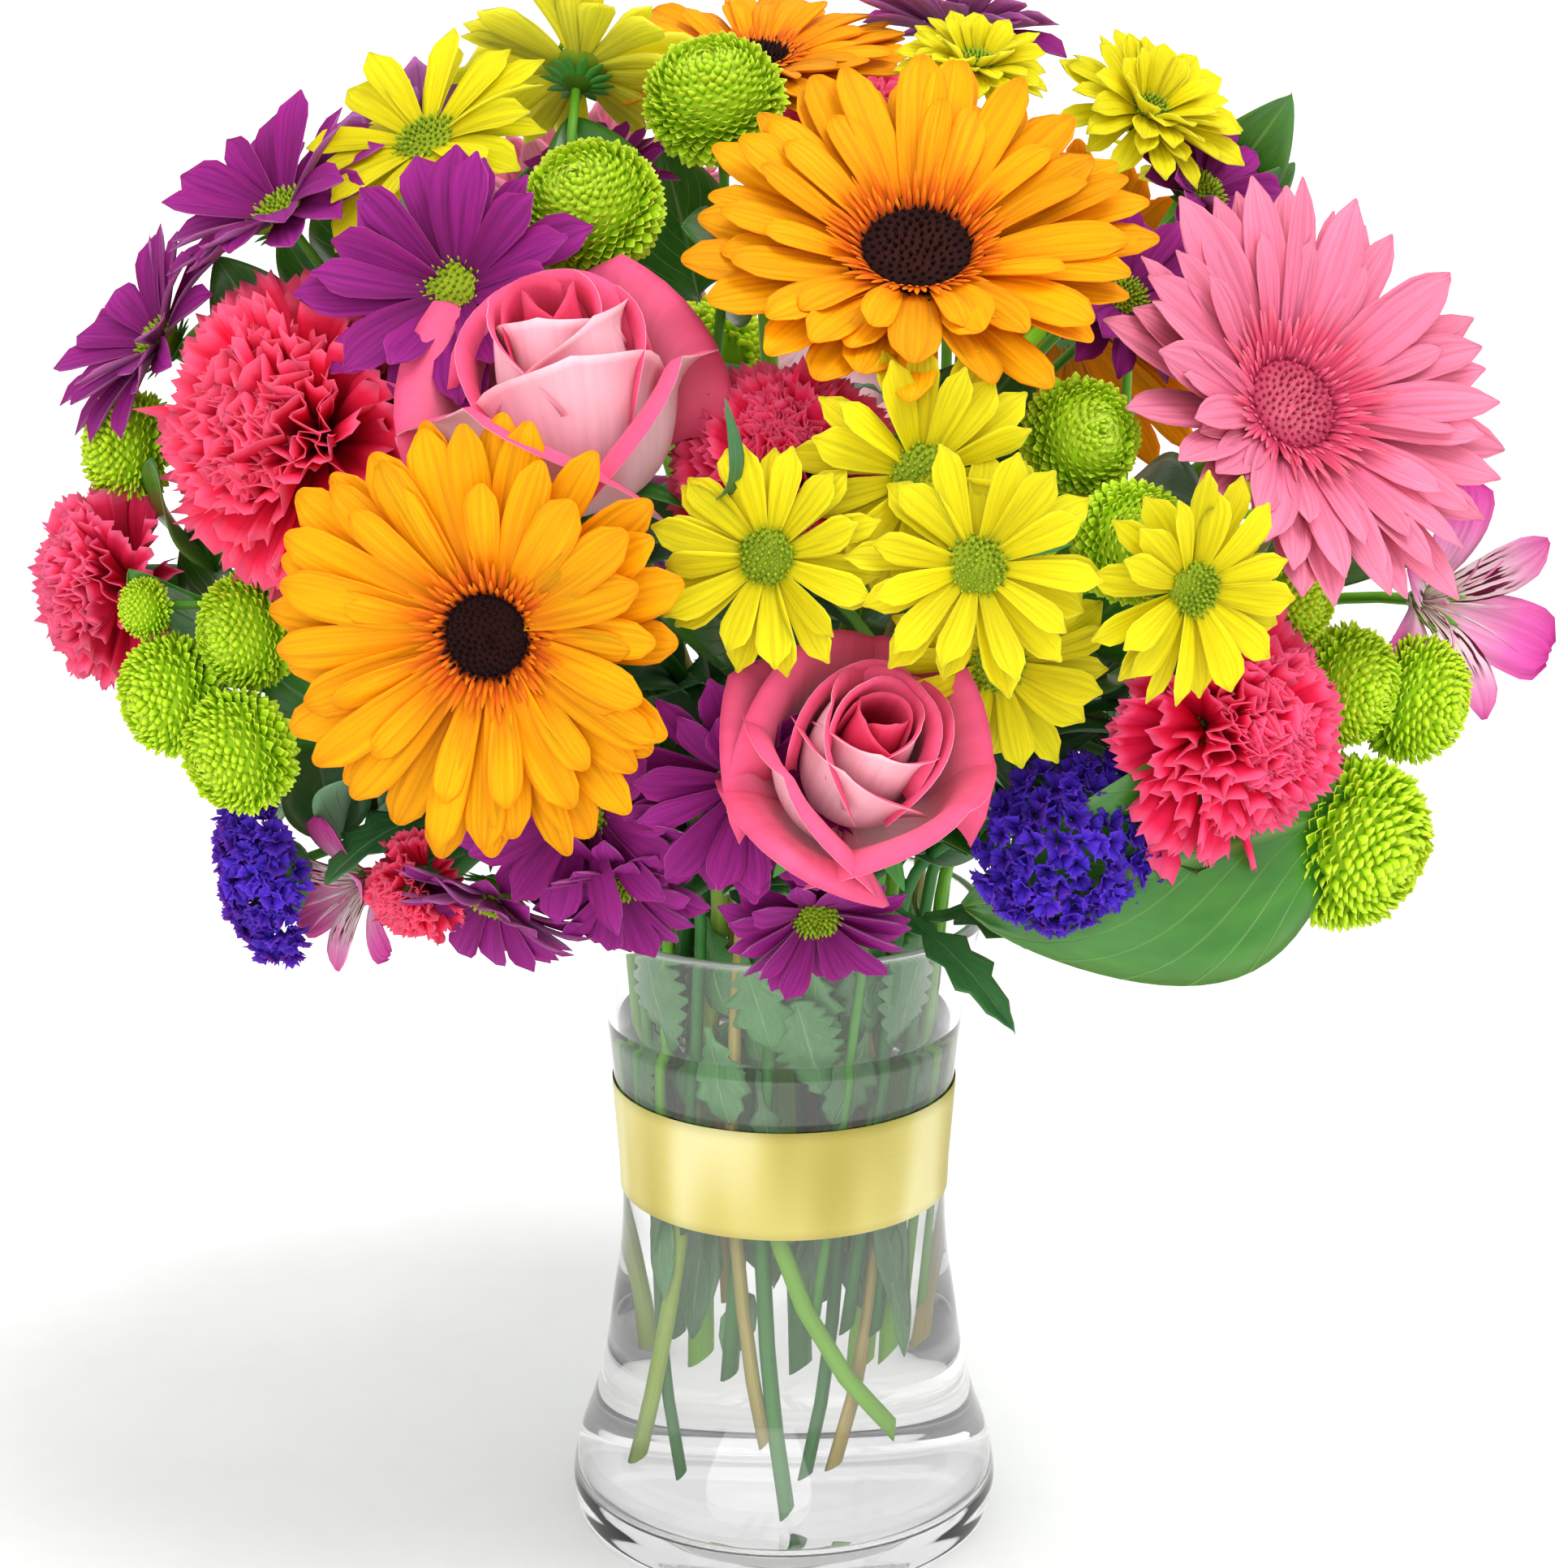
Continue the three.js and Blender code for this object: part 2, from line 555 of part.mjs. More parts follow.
const CARNATION_DEPTH = 0.62; // height of the bloom in radii, behind its face
function carnationBloom({ radius }, grow) {
  const back = -radius * CARNATION_DEPTH;
  const tiers = [
    { count: 6, reach: radius, low: back + 2, slope: 0.18, phase: 0 },
    { count: 6, reach: radius * 0.9, low: back + 8, slope: 0.52, phase: 0.4 },
    { count: 4, reach: radius * 0.56, low: back + 13, slope: 1.2, phase: 0.9 },
  ];
  const plates = tiers.map((tier) => frill({ ...tier, ruffle: radius * 0.1, thick: 2.4 }, grow));
  const core = lathe([[0, back - grow], [radius * 0.3 + grow, back + 1], [radius * 0.34 + grow, back * 0.4],
    [0, back * 0.1 + grow]], 5);
  return fuse([core, ...plates]);
}

function carnationCalyx({ radius, whole }, grow) {
  const back = -radius * CARNATION_DEPTH + (whole ? 1 : -GAP);
  return lathe([[0, back - 26 - grow], [3 + grow, back - 24], [6 + grow, back - 4], [4.5 + grow, back + grow],
    [0, back + grow]], 6);
}

// A rose: a wound bud in cupped petals that open outwards row by row.
function rosePetal({ spread, foot, top, flare, turn, wide }, grow) {
  const blade = new Blade(grow);
  const spot = (across, up, lift) => {
    const angle = turn + across * wide;
    const bow = Math.sin(up * Math.PI * 0.55);
    const curl = up > 0.9 ? flare * (1 - 0.45 * across * across) : 0;
    const radius = spread * (0.25 + 0.75 * bow) * (1 - 0.06 * across * across) + curl + lift;
    const height = foot + (top - foot) * up * (1 - 0.16 * across * across * (up > 0.9 ? 1 : 0));
    return polar(radius, angle, height);
  };
  const half = 1.1 + grow * 1.3;
  const more = 1 + grow * 0.06;
  const rim = [[-1, 0], [0, 0], [1, 0], [1, 0.55], [1, 1], [0, 1.06], [-1, 1], [-1, 0.55]]
    .map(([across, up]) => blade.edge((g) => spot(across * more, up * more, 1.5 * g)));
  for (const face of [0, 1]) {
    const lift = face === 0 ? half : -half;
    const [low, high] = [0.4, 0.8].map((up) => blade.point(spot(0, up, lift)));
    blade.fan(low, [rim[7], rim[0], rim[1], rim[2], rim[3], high, rim[7]], face);
    blade.fan(high, [rim[3], rim[4], rim[5], rim[6], rim[7]], face);
  }
  blade.wall([...rim, rim[0]]);
  return blade.solid();
}

function roseBloom({ radius }, grow) {
  const back = -radius * 0.95;
  const bud = lathe([[0, back - grow], [radius * 0.34 + grow, back * 0.75], [radius * 0.5 + grow, back * 0.35],
    [radius * 0.42 + grow, 1], [0, 3 + grow]], 6);
  const petals = [];
  for (let i = 0; i < 3; i += 1) {
    petals.push(rosePetal({ spread: radius * 0.64, foot: back + 1, top: 2, flare: 3, wide: 0.95,
      turn: i * 2.09 }, grow));
  }
  for (let i = 0; i < 4; i += 1) {
    petals.push(rosePetal({ spread: radius * 0.84, foot: back + 1, top: -3 - i, flare: radius * 0.22,
      wide: 0.74, turn: 0.7 + i * 1.571 }, grow));
  }
  return fuse([bud, ...petals]);
}

function roseHip({ radius, whole }, grow) {
  const back = -radius * 0.95 + (whole ? 2 : -GAP);
  return whorl({ count: 5, claw: 5, reach: radius * 0.62, width: 8, thick: 1.6, cup: 10,
    rise: (r) => back - 1.2 - r * 0.25 }, grow);
}

// A button chrysanthemum: a ball with a knob for each cluster of florets.
function pomBall({ radius }, grow) {
  const facets = new THREE.IcosahedronGeometry(1, 0).attributes.position;
  const triangles = [];
  for (let i = 0; i < facets.count; i += 3) {
    triangles.push([0, 1, 2].map((k) => new THREE.Vector3().fromBufferAttribute(facets, i + k)));
  }
  const dip = (triangle) => triangle.reduce((sum, corner) => sum.add(corner), new THREE.Vector3())
    .setLength(radius * 0.94 + grow);
  const shares = (a, b) => a.filter((p) => b.some((q) => q.distanceTo(p) < 0.1));
  const positions = [];
  for (const one of triangles) {
    for (const other of triangles) {
      const edge = shares(one, other);
      if (edge.length !== 2) continue;
      for (const knob of edge) {
        const top = knob.clone().setLength(radius * 1.04 + grow);
        const [a, b] = [dip(one), dip(other)];
        const outward = a.clone().sub(top).cross(b.clone().sub(top)).dot(top) > 0;
        if (outward) positions.push(...top.toArray(), ...a.toArray(), ...b.toArray());
      }
    }
  }
  const geometry = new THREE.BufferGeometry();
  geometry.setAttribute('position', new THREE.Float32BufferAttribute(positions, 3));
  return solidFromGeometry(geometry);
}

// ---------------------------------------------------------------- the nodes
const bouquet = new THREE.Group();
const placed = [];

function boxesMeet(a, b) {
  const [first, second] = [a.boundingBox(), b.boundingBox()];
  return [0, 1, 2].every((k) => first.min[k] < second.max[k] && second.min[k] < first.max[k]);
}

// Adds one piece. build(grow) makes it, thicker all round by grow, which is the room it needs; what
// was placed before keeps its shape, and the new piece is cut clear of it.
function addPiece(name, finish, build) {
  let body = build(0);
  for (const other of placed) {
    if (boxesMeet(body, other.room)) body = body.subtract(other.room);
  }
  body = largest(largest(body).simplify(SLIVER));
  placed.push({ name, room: build(GAP) });
  const { vertProperties, triVerts } = body.getMesh();
  const geometry = new THREE.BufferGeometry();
  geometry.setAttribute('position', new THREE.Float32BufferAttribute(vertProperties, 3));
  geometry.setIndex(Array.from(triVerts));
  geometry.computeVertexNormals();
  const material = new THREE.MeshStandardMaterial({
    color: finish.colour, roughness: finish.rough, metalness: 0, flatShading: true,
  });
  const mesh = new THREE.Mesh(geometry, material);
  mesh.name = name;
  bouquet.add(mesh);
}

function stemTube(slot, bloom, radius, depth, grow, sides = STEM_SIDES) {
  const out = facing(bloom.turn, bloom.tilt);
  const end = vec(bloom.at).addScaledVector(out, -depth);
  return tube(stemPoints(slot, end, out), radius + grow, sides);
}

// A head with no stated facing looks away from the middle of the bouquet.
function withFacing(head) {
  if (head.turn !== undefined) return head;
  const [x, y, z] = head.at;
  const turn = THREE.MathUtils.radToDeg(Math.atan2(x, -y));
  const tilt = THREE.MathUtils.radToDeg(Math.atan2(z - 300, Math.hypot(x, y)));
  return { ...head, turn, tilt };
}

function alongPath(points, share) {
  const place = share * (points.length - 1);
  const first = Math.min(Math.floor(place), points.length - 2);
  return points[first].clone().lerp(points[first + 1], place - first);
}

function leavesOn(points, leaves, lobes, grow) {
  return leaves.map((leaf) => leafBlade({
    base: alongPath(points, leaf.from), tip: vec(leaf.to), out: facing(leaf.turn, leaf.tilt),
    width: leaf.width, lobes,
  }, grow));
}

// The stem of a spray and a branch to each head. depth is how far behind the face a branch joins.
function sprayStems(spray, radius, depth, grow) {
  const heads = spray.heads.map(withFacing);
  const backs = heads.map((head) => vec(head.at).addScaledVector(facing(head.turn, head.tilt), -depth));
  const middle = backs.reduce((sum, back) => sum.add(back), new THREE.Vector3());
  middle.divideScalar(backs.length);
  const rim = slotPoint(spray.slot, RIM_RINGS, RIM_HEIGHT, 0);
  const fork = rim.clone().lerp(middle, 0.5);
  fork.z += 6;
  const lift = middle.clone().sub(rim).normalize();
  const points = stemPoints(spray.slot, fork, lift, 2);
  const stem = tube(points, radius + grow, STEM_SIDES);
  const branches = heads.map((head, i) => {
    const out = facing(head.turn, head.tilt);
    const start = fork.clone().addScaledVector(lift, -radius);
    const bend = backs[i].clone().addScaledVector(out, -backs[i].distanceTo(fork) * 0.3);
    const far = backs[i].distanceTo(fork) > LONG_BRANCH;
    return tube(far ? [start, bend, backs[i]] : [start, backs[i]], radius * 0.8 + grow, BRANCH_SIDES);
  });
  return [stem, ...branches, ...leavesOn(points, spray.leaves ?? [], 0.32, grow)];
}

function addVase() {
  const outer = VASE_OUTER.map(([height, radius]) => [radius, height]);
  const inner = VASE_OUTER.filter(([height]) => height > GLASS_FLOOR)
    .map(([height, radius]) => [radius - GLASS_WALL, height]).reverse();
  const floor = [[VASE_OUTER[1][1] - GLASS_WALL - FLOOR_FILLET, GLASS_FLOOR], [0, GLASS_FLOOR]];
  const profile = [[0, 0], ...outer, ...inner, ...floor];
  addPiece('glass_vase', GLASS, () => lathe(profile, VASE_SIDES));
  placed.pop();
}

function vaseRadius(height) {
  const upper = VASE_OUTER.findIndex(([level]) => level >= height);
  const [[z0, r0], [z1, r1]] = [VASE_OUTER[upper - 1], VASE_OUTER[upper]];
  return r0 + ((r1 - r0) * (height - z0)) / (z1 - z0);
}

function addRibbon() {
  const inside = 0.3;
  const levels = [RIBBON_LOW, RIBBON_HIGH];
  const skin = (offset) => levels.map((height) => [vaseRadius(height) + offset, height]);
  const profile = [...skin(inside), ...skin(inside + RIBBON_THICK).reverse()];
  addPiece('satin_ribbon', SATIN, () => lathe([...profile, profile[0]], VASE_SIDES));
  placed.pop();
}

function addWater() {
  const clear = 0.4;
  const levels = [14.5, 38, 70, 98, 138, WATER_TOP];
  const wall = levels.map((height) => {
    const facet = Math.cos(Math.PI / VASE_SIDES);
    return [(vaseRadius(height) - GLASS_WALL) * facet - clear, height];
  });
  const floor = GLASS_FLOOR + clear;
  const profile = [[0, floor], [wall[0][0] - FLOOR_FILLET - 1, floor], ...wall, [0, WATER_TOP]];
  addPiece('water', WATER, () => lathe(profile, WATER_SIDES));
}

function addGerberas() {
  for (const bloom of GERBERAS) {
    addPiece(`${bloom.name}_stem`, STEM_GREEN, (grow) => fuse([
      stemTube(bloom.slot, bloom, GERBERA_STEM, 16, grow, GERBERA_STEM_SIDES),
      moved(gerberaHead(bloom, grow), stand(bloom))]));
  }
}

function addGerberaFaces() {
  for (const bloom of GERBERAS) {
    const matrix = stand(bloom);
    if (!bloom.whole) addPiece(`${bloom.name}_eye`, EYE, (grow) => moved(gerberaEye(bloom, grow), matrix));
    addPiece(`${bloom.name}_petals`, bloom.finish, (grow) => moved(gerberaPetals(bloom, grow), matrix));
  }
}

const roseStem = (bloom, grow) => fuse([
  stemTube(bloom.slot, bloom, ROSE_STEM, bloom.radius * 0.95 + 8, grow),
  moved(roseHip(bloom, grow), stand(bloom))]);

const carnationStem = (bloom, grow) => fuse([
  stemTube(bloom.slot, bloom, CARNATION_STEM, bloom.radius * CARNATION_DEPTH + 20, grow),
  moved(carnationCalyx(bloom, grow), stand(bloom))]);

function addStems() {
  for (const bloom of ROSES.filter((each) => !each.whole)) {
    addPiece(`${bloom.name}_stem`, STEM_GREEN, (grow) => roseStem(bloom, grow));
  }
  for (const bloom of CARNATIONS.filter((each) => !each.whole)) {
    addPiece(`${bloom.name}_stem`, STEM_GREEN, (grow) => carnationStem(bloom, grow));
  }
}

function addSprayStems() {
  for (const spray of DAISY_SPRAYS.filter((each) => each.split)) {
    addPiece(`${spray.name}_stems`, STEM_GREEN, (grow) => fuse([
      ...sprayStems(spray, DAISY_STEM, 6, grow),
      ...spray.heads.map((head) => moved(daisySpindle(grow), stand(head)))]));
  }
}

// A bloom marked whole is one solid with its stem.
function addBlooms(blooms, finish, makeBloom, makeStem) {
  for (const bloom of blooms) {
    const colour = bloom.finish ?? finish;
    const head = (grow) => moved(makeBloom(bloom, grow), stand(bloom));
    if (bloom.whole) addPiece(bloom.name, colour, (grow) => fuse([head(grow), makeStem(bloom, grow)]));
    else addPiece(`${bloom.name}_bloom`, colour, head);
  }
}

function addDaisies() {
  for (const spray of DAISY_SPRAYS) {
    if (!spray.split) {
      addPiece(spray.name, spray.finish, (grow) => fuse([
        ...sprayStems(spray, DAISY_STEM, 4, grow),
        ...spray.heads.map((head) => moved(daisyHead(head, grow), stand(head)))]));
      continue;
    }
    spray.heads.forEach((head, i) => {
      addPiece(`${spray.name}_petals_${i + 1}`, spray.finish,
        (grow) => moved(daisyPetals(head, grow), stand(head)));
    });
  }
}

function addPoms() {
  for (const spray of POM_SPRAYS) {
    addPiece(spray.name, LIME, (grow) => fuse([
      ...sprayStems(spray, POM_STEM, 8, grow),
      ...spray.heads.map((head) => moved(pomBall(head, grow), stand(withFacing(head))))]));
  }
}

const STATICE_CUPS = 10;
// Statice: little papery cups crowded along a forked sprig.
function addStatice() {
  for (const sprig of STATICE) {
    const cups = [];
    seed = SEED;
    for (let i = 0; i < STATICE_CUPS; i += 1) {
      const angle = i * 2.4;
      const out = sprig.radius * Math.sqrt((i + 0.5) / STATICE_CUPS);
      const lift = random(-4, 3) - (out * out) / sprig.radius / 3;
      cups.push([Math.cos(angle) * out, Math.sin(angle) * out, lift]);
    }
    addPiece(sprig.name, VIOLET, (grow) => {
      const cup = lathe([[0, -11 - grow], [5 + grow, 1], [0, 3 + grow]], 4);
      const heart = lathe([[0, -16 - grow], [sprig.radius * 0.55 + grow, -7], [0, 0 + grow]], 6);
      const head = cups.map((spot) => moved(cup, new THREE.Matrix4().setPosition(...spot)));
      const stem = stemTube(sprig.slot, sprig, STATICE_STEM, 12, grow);
      return fuse([stem, moved(fuse([heart, ...head]), stand(sprig))]);
    });
  }
}

// Alstroemeria: three outer and three inner petals that open from a narrow throat.
function addAlstroemerias() {
  for (const bloom of ALSTROEMERIAS) {
    addPiece(bloom.name, LILAC, (grow) => {
      const rise = (r) => -9 + r * 0.9 - r * r * 0.016;
      const head = whorl({ count: 6, claw: 5, reach: bloom.radius, width: bloom.radius * 0.66, thick: 2,
        stagger: 3, cup: 13, rise }, grow);
      const stem = stemTube(bloom.slot, bloom, ALSTROEMERIA_STEM, 20, grow);
      return fuse([stem, moved(head, stand(bloom))]);
    });
  }
}

function addLeafyStems() {
  for (const stem of LEAFY_STEMS) {
    addPiece(stem.name, LEAF_GREEN, (grow) => {
      const end = vec(stem.end);
      const points = stemPoints(stem.slot, end, end.clone().setZ(0).normalize());
      const stalk = tube(points, SALAL_STEM + grow, STEM_SIDES);
      return fuse([stalk, ...leavesOn(points, stem.leaves, 0, grow)]);
    });
  }
}

addGerberas();
addStems();
addSprayStems();
addGerberaFaces();
addBlooms(ROSES, ROSE, roseBloom, roseStem);
addBlooms(CARNATIONS, CARNATION, carnationBloom, carnationStem);
addDaisies();
addPoms();
addStatice();
addAlstroemerias();
addLeafyStems();
addWater();
addVase();
addRibbon();

export default bouquet;
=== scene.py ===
# %% [markdown]
# # A mixed bouquet with gerberas, in a glass vase
#
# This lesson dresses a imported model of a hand-tied bouquet: gerberas, roses, carnations, daisy
# chrysanthemums, button chrysanthemums, statice and alstroemeria stand in a waisted clear vase of water with
# a yellow satin ribbon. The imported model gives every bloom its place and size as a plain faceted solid. Here
# petals, florets, veins and stems replace it. They could be sculpted or scattered by hand, but a flower is a
# rule with a little chance in it, so a few functions and one seeded random stream grow the whole bouquet.

import math

import bpy
import numpy as np
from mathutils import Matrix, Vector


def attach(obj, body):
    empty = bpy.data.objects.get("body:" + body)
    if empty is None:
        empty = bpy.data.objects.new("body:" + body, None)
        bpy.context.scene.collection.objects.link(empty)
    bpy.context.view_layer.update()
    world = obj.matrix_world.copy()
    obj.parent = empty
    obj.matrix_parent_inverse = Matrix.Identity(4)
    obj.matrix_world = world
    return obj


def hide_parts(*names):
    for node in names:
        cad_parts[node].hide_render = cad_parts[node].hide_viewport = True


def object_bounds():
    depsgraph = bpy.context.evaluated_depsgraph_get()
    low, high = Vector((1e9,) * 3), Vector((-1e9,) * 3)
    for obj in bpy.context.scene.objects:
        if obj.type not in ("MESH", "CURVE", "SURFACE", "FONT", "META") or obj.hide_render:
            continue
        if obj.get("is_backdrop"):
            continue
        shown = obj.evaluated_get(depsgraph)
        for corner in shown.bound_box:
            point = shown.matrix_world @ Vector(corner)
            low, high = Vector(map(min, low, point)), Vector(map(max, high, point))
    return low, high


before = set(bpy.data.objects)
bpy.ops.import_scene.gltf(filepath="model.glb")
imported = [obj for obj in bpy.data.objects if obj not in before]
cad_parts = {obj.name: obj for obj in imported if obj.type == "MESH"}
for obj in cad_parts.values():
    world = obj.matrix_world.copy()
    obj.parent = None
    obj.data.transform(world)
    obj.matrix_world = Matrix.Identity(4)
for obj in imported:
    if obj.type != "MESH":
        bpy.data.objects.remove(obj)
cad_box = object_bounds()
MM = 0.001                    # the tables below are in millimetres, Blender works in metres
print("packed nodes:", len(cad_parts))

# %% [markdown]
# ## The camera
#
# The photograph looks slightly down at the vase. A camera can be placed by eye or worked out: here the ovals of
# the ribbon and of the glass foot gave how far it looks down. A long lens from 1.2 m keeps the vase's sides
# nearly parallel, as they are in the photograph. It comes first, so each later step is judged in the same view.

# %% Camera
LOOKING_DOWN = 16.7           # degrees, from the ovals of ribbon and foot
lens_data = bpy.data.cameras.new("studio_camera")
lens_data.sensor_width = 36
lens_data.lens = 101.3        # mm: the bouquet fills the frame as in the photograph
camera = bpy.data.objects.new("studio_camera", lens_data)
camera.location = (0, -1.2, 0.585)
camera.rotation_euler = (math.radians(90 - LOOKING_DOWN), 0, 0)
bpy.context.collection.objects.link(camera)
bpy.context.scene.camera = camera
bpy.context.scene.view_settings.view_transform = "Standard"
print("the camera is", round(camera.location.z, 3), "m up")

# %% [markdown]
# ## Where everything stands
#
# A florist ties the stems in a spiral: they cross near the rim and stand in rings on the glass floor. The blooms
# could be scattered at random, but people know this bouquet by its pattern, so a table names each one. `at` is
# the middle of its face in millimetres, `turn` says how far it looks round from the front and `tilt` how far
# up, and `slot` is the ring and the clock angle where its stem stands. Some blooms were moved by a few
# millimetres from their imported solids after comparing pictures. `whole` marks those packed in one node.

# %% Places of the gerberas
# cup: how far the rays rise, in degrees; lean: how much more on one side. eye: its radius in shares of the
# bloom's. tone: how light the stem is.
GERBERAS = [
    dict(name="gerbera_orange_left", at=(-71, -165, 313), turn=-11, tilt=1, radius=57, cup=15, slot=(2, -36),
         lean=8, tone=0.78, eye=0.195),
    dict(name="gerbera_orange_centre", at=(33, -108, 391), turn=0, tilt=55, radius=61, cup=25, slot=(1, 30),
         eye=0.25),
    dict(name="gerbera_pink_right", at=(127, -90, 351), turn=31, tilt=33, radius=64, cup=22, slot=(2, 84),
         lean=-6),
    dict(name="gerbera_orange_top", at=(-8, -5, 428), turn=-10, tilt=76, radius=43, cup=12, slot=(0, 0)),
    dict(name="gerbera_pink_back", whole=True, at=(-62, 122, 352), turn=-153, tilt=25, radius=56, cup=14,
         slot=(2, -156)),
    dict(name="gerbera_orange_back", whole=True, at=(86, 118, 340), turn=143, tilt=18, radius=57, cup=10,
         slot=(2, 132)),
]
print("gerberas:", len(GERBERAS))

# %% Places of the roses
# swing, order, curl, rolling and guards (turn, lean) shape the outer petals; see the rose's own cell.
ROSES = [
    dict(name="rose_upper", at=(-56, -138, 376), turn=-20, tilt=68, radius=38, slot=(2, -12),
         swing=234, order=-1, curl=135, rolling=0.24, guards=()),
    dict(name="rose_lower", at=(22, -172, 288), turn=18, tilt=42, radius=30.5, slot=(3, 0),
         swing=280, curl=120, rolling=0.2, guards=((140, 4), (226, 8))),
    dict(name="rose_back", whole=True, at=(14, 152, 296), turn=175, tilt=15, radius=33, slot=(3, 180)),
]
print("roses:", len(ROSES))

# %% Places of the carnations
# crimson and light choose the finish; light takes the brighter hot pink frill, partly painted light for a bloom in
# shade.
CARNATIONS = [
    dict(name="carnation_left", at=(-133, -106, 353), turn=-40, tilt=22, radius=37, slot=(2, -60), frill=1.25),
    dict(name="carnation_far_left", whole=True, crimson=True, at=(-190, -52, 297), turn=-66, tilt=6,
         radius=25, slot=(3, -90), frill=1.22),
    dict(name="carnation_right", at=(122, -126, 274), turn=38, tilt=2, radius=34, slot=(3, 60), frill=1.1,
         guards=(258, 290), light=True),
    dict(name="carnation_middle", whole=True, crimson=True, light=True, at=(0, -134, 354), turn=-5, tilt=40,
         radius=25, slot=(2, 12), frill=1.2),
    dict(name="carnation_low", whole=True, at=(-100, -104, 225), turn=-42, tilt=-18, radius=22, slot=(3, -30),
         frill=0.74),
    dict(name="carnation_back_left", whole=True, at=(-148, 66, 316), turn=-112, tilt=12, radius=35,
         slot=(2, -132)),
    dict(name="carnation_back_top", whole=True, crimson=True, at=(22, 88, 404), turn=165, tilt=52,
         radius=33, slot=(1, 150)),
]
print("carnations:", len(CARNATIONS))

# %% Places of the daisies
# heads: (x, y, z, turn, tilt, radius)
DAISY_SPRAYS = [
    dict(name="yellow_daisy_front", slot=(2, 36), split=True, heads=[
        (33, -161, 351, 6, 11, 30), (-4, -170, 333, -8, 10, 27), (46, -172, 331, 12, 24, 29),
        (52, -152, 302, 14, -6, 28), (99, -157, 322, 30, 0, 27)]),
    dict(name="yellow_daisy_top_left", slot=(1, -90), heads=[
        (-92, -62, 416, -38, 52, 33), (-54, -36, 431, 172, 44, 32)]),
    dict(name="yellow_daisy_top_right", slot=(1, 90), double=True, heads=[
        (97, -22, 418, 35, 50, 25), (50, -34, 432, 15, 68, 20)]),
    dict(name="yellow_daisy_back", slot=(3, 120), heads=[
        (160, 32, 336, 100, 20, 29), (150, 84, 284, 118, -6, 29), (116, 52, 388, 118, 45, 27)]),
    dict(name="purple_daisy_left", slot=(2, -84), heads=[
        (-82, -108, 386, -18, 32, 33), (-131, -56, 397, -56, 54, 31), (-166, -42, 360, -70, 36, 30),
        (-48, -34, 402, -10, 55, 18)]),
    dict(name="purple_daisy_low", slot=(3, -15), tone=0.93, heads=[
        (-9, -150, 270, -6, -8, 28), (-50, -137, 260, -18, -22, 30), (-76, -112, 228, -34, -50, 25),
        (8, -132, 230, 5, -30, 23), (-43, -128, 238, -10, -42, 23)]),
    dict(name="purple_daisy_right", slot=(1, 210), heads=[
        (48, 14, 434, 150, 72, 26), (88, -66, 376, 30, 40, 23), (112, -20, 396, 50, 42, 24)]),
    dict(name="purple_daisy_back", slot=(3, -135), heads=[
        (-122, 112, 272, -132, -2, 29), (-52, 142, 262, -162, -12, 28), (-104, 50, 396, -125, 44, 28)]),
]
print("daisy heads:", sum(len(spray["heads"]) for spray in DAISY_SPRAYS))

# %% Places of the buttons
# heads: (x, y, z, radius); they look away from the middle of the bouquet
POM_SPRAYS = [
    dict(name="button_poms_left", slot=(3, -75), shade=0.35, heads=[
        (-160, -90, 276, 16), (-139, -96, 295, 15), (-141, -108, 266, 16), (-167, -84, 298, 8),
        (-176, -42, 332, 15)]),
    dict(name="button_poms_top", slot=(1, -30), shade=-0.3, heads=[(-18, -62, 428, 18), (-49, -88, 404, 18)]),
    dict(name="button_poms_centre", slot=(2, 60), heads=[(74, -122, 352, 15), (86, -143, 330, 15)]),
    dict(name="button_poms_right", slot=(3, 75), shade=0.3, heads=[
        (131, -96, 304, 13), (147, -88, 278, 16), (168, -72, 270, 17), (150, -92, 236, 23)]),
    dict(name="button_poms_back", slot=(3, 150), heads=[
        (-22, 140, 322, 17), (70, 138, 268, 18), (112, 116, 268, 16)]),
]
print("button heads:", sum(len(spray["heads"]) for spray in POM_SPRAYS))

# %% Places of the small sprigs
STATICE = [
    dict(name="statice_left", slot=(3, -60), at=(-142, -92, 225), turn=-50, tilt=-10, radius=21, wide=0.66,
         tall=1.25),
    dict(name="statice_right", slot=(3, 30), at=(76, -133, 246), turn=20, tilt=0, radius=25, wide=1.14),
    dict(name="statice_back", slot=(3, -165), at=(-10, 138, 240), turn=-176, tilt=-5, radius=22),
]
ALSTROEMERIAS = [
    dict(name="alstroemeria_right", slot=(3, 90), at=(177, -52, 291), turn=36, tilt=6, radius=33),
    dict(name="alstroemeria_left", slot=(3, -45), at=(-117, -88, 221), turn=-46, tilt=-10, radius=22),
]
print("small sprigs:", len(STATICE) + len(ALSTROEMERIAS))

# %% Places of the salal
# leaves: (how far up the stem, tip x, y, z, width, turn, tilt)
SALAL = [
    dict(name="salal_right", slot=(3, 45), end=(100, -92, 232), leaves=[
        (0.97, 106, -124, 238, 40, 25, 38), (0.9, 148, -62, 222, 36, 60, 40),
        (0.8, 66, -112, 216, 30, 20, 35), (0.84, 158, -6, 232, 38, 85, 35)]),
    dict(name="salal_left", slot=(3, -105), end=(-126, -52, 268), leaves=[
        (1, -156, -54, 322, 34, -60, 10), (0.9, -176, -20, 262, 36, -80, 45),
        (0.8, -140, -56, 226, 32, -70, 40)]),
    dict(name="salal_back", slot=(3, 165), end=(40, 112, 226), leaves=[
        (1, 60, 172, 236, 40, 165, 40), (0.92, -4, 156, 214, 36, 190, 40), (0.85, 104, 98, 212, 36, 130, 40)]),
    dict(name="salal_back_left", slot=(3, -120), end=(-118, 66, 250), leaves=[
        (1, -178, 66, 262, 40, -110, 40), (0.92, -138, 110, 226, 34, -140, 35),
        (0.84, -150, 20, 232, 36, -90, 40)]),
]
print("salal leaves:", sum(len(plant["leaves"]) for plant in SALAL))

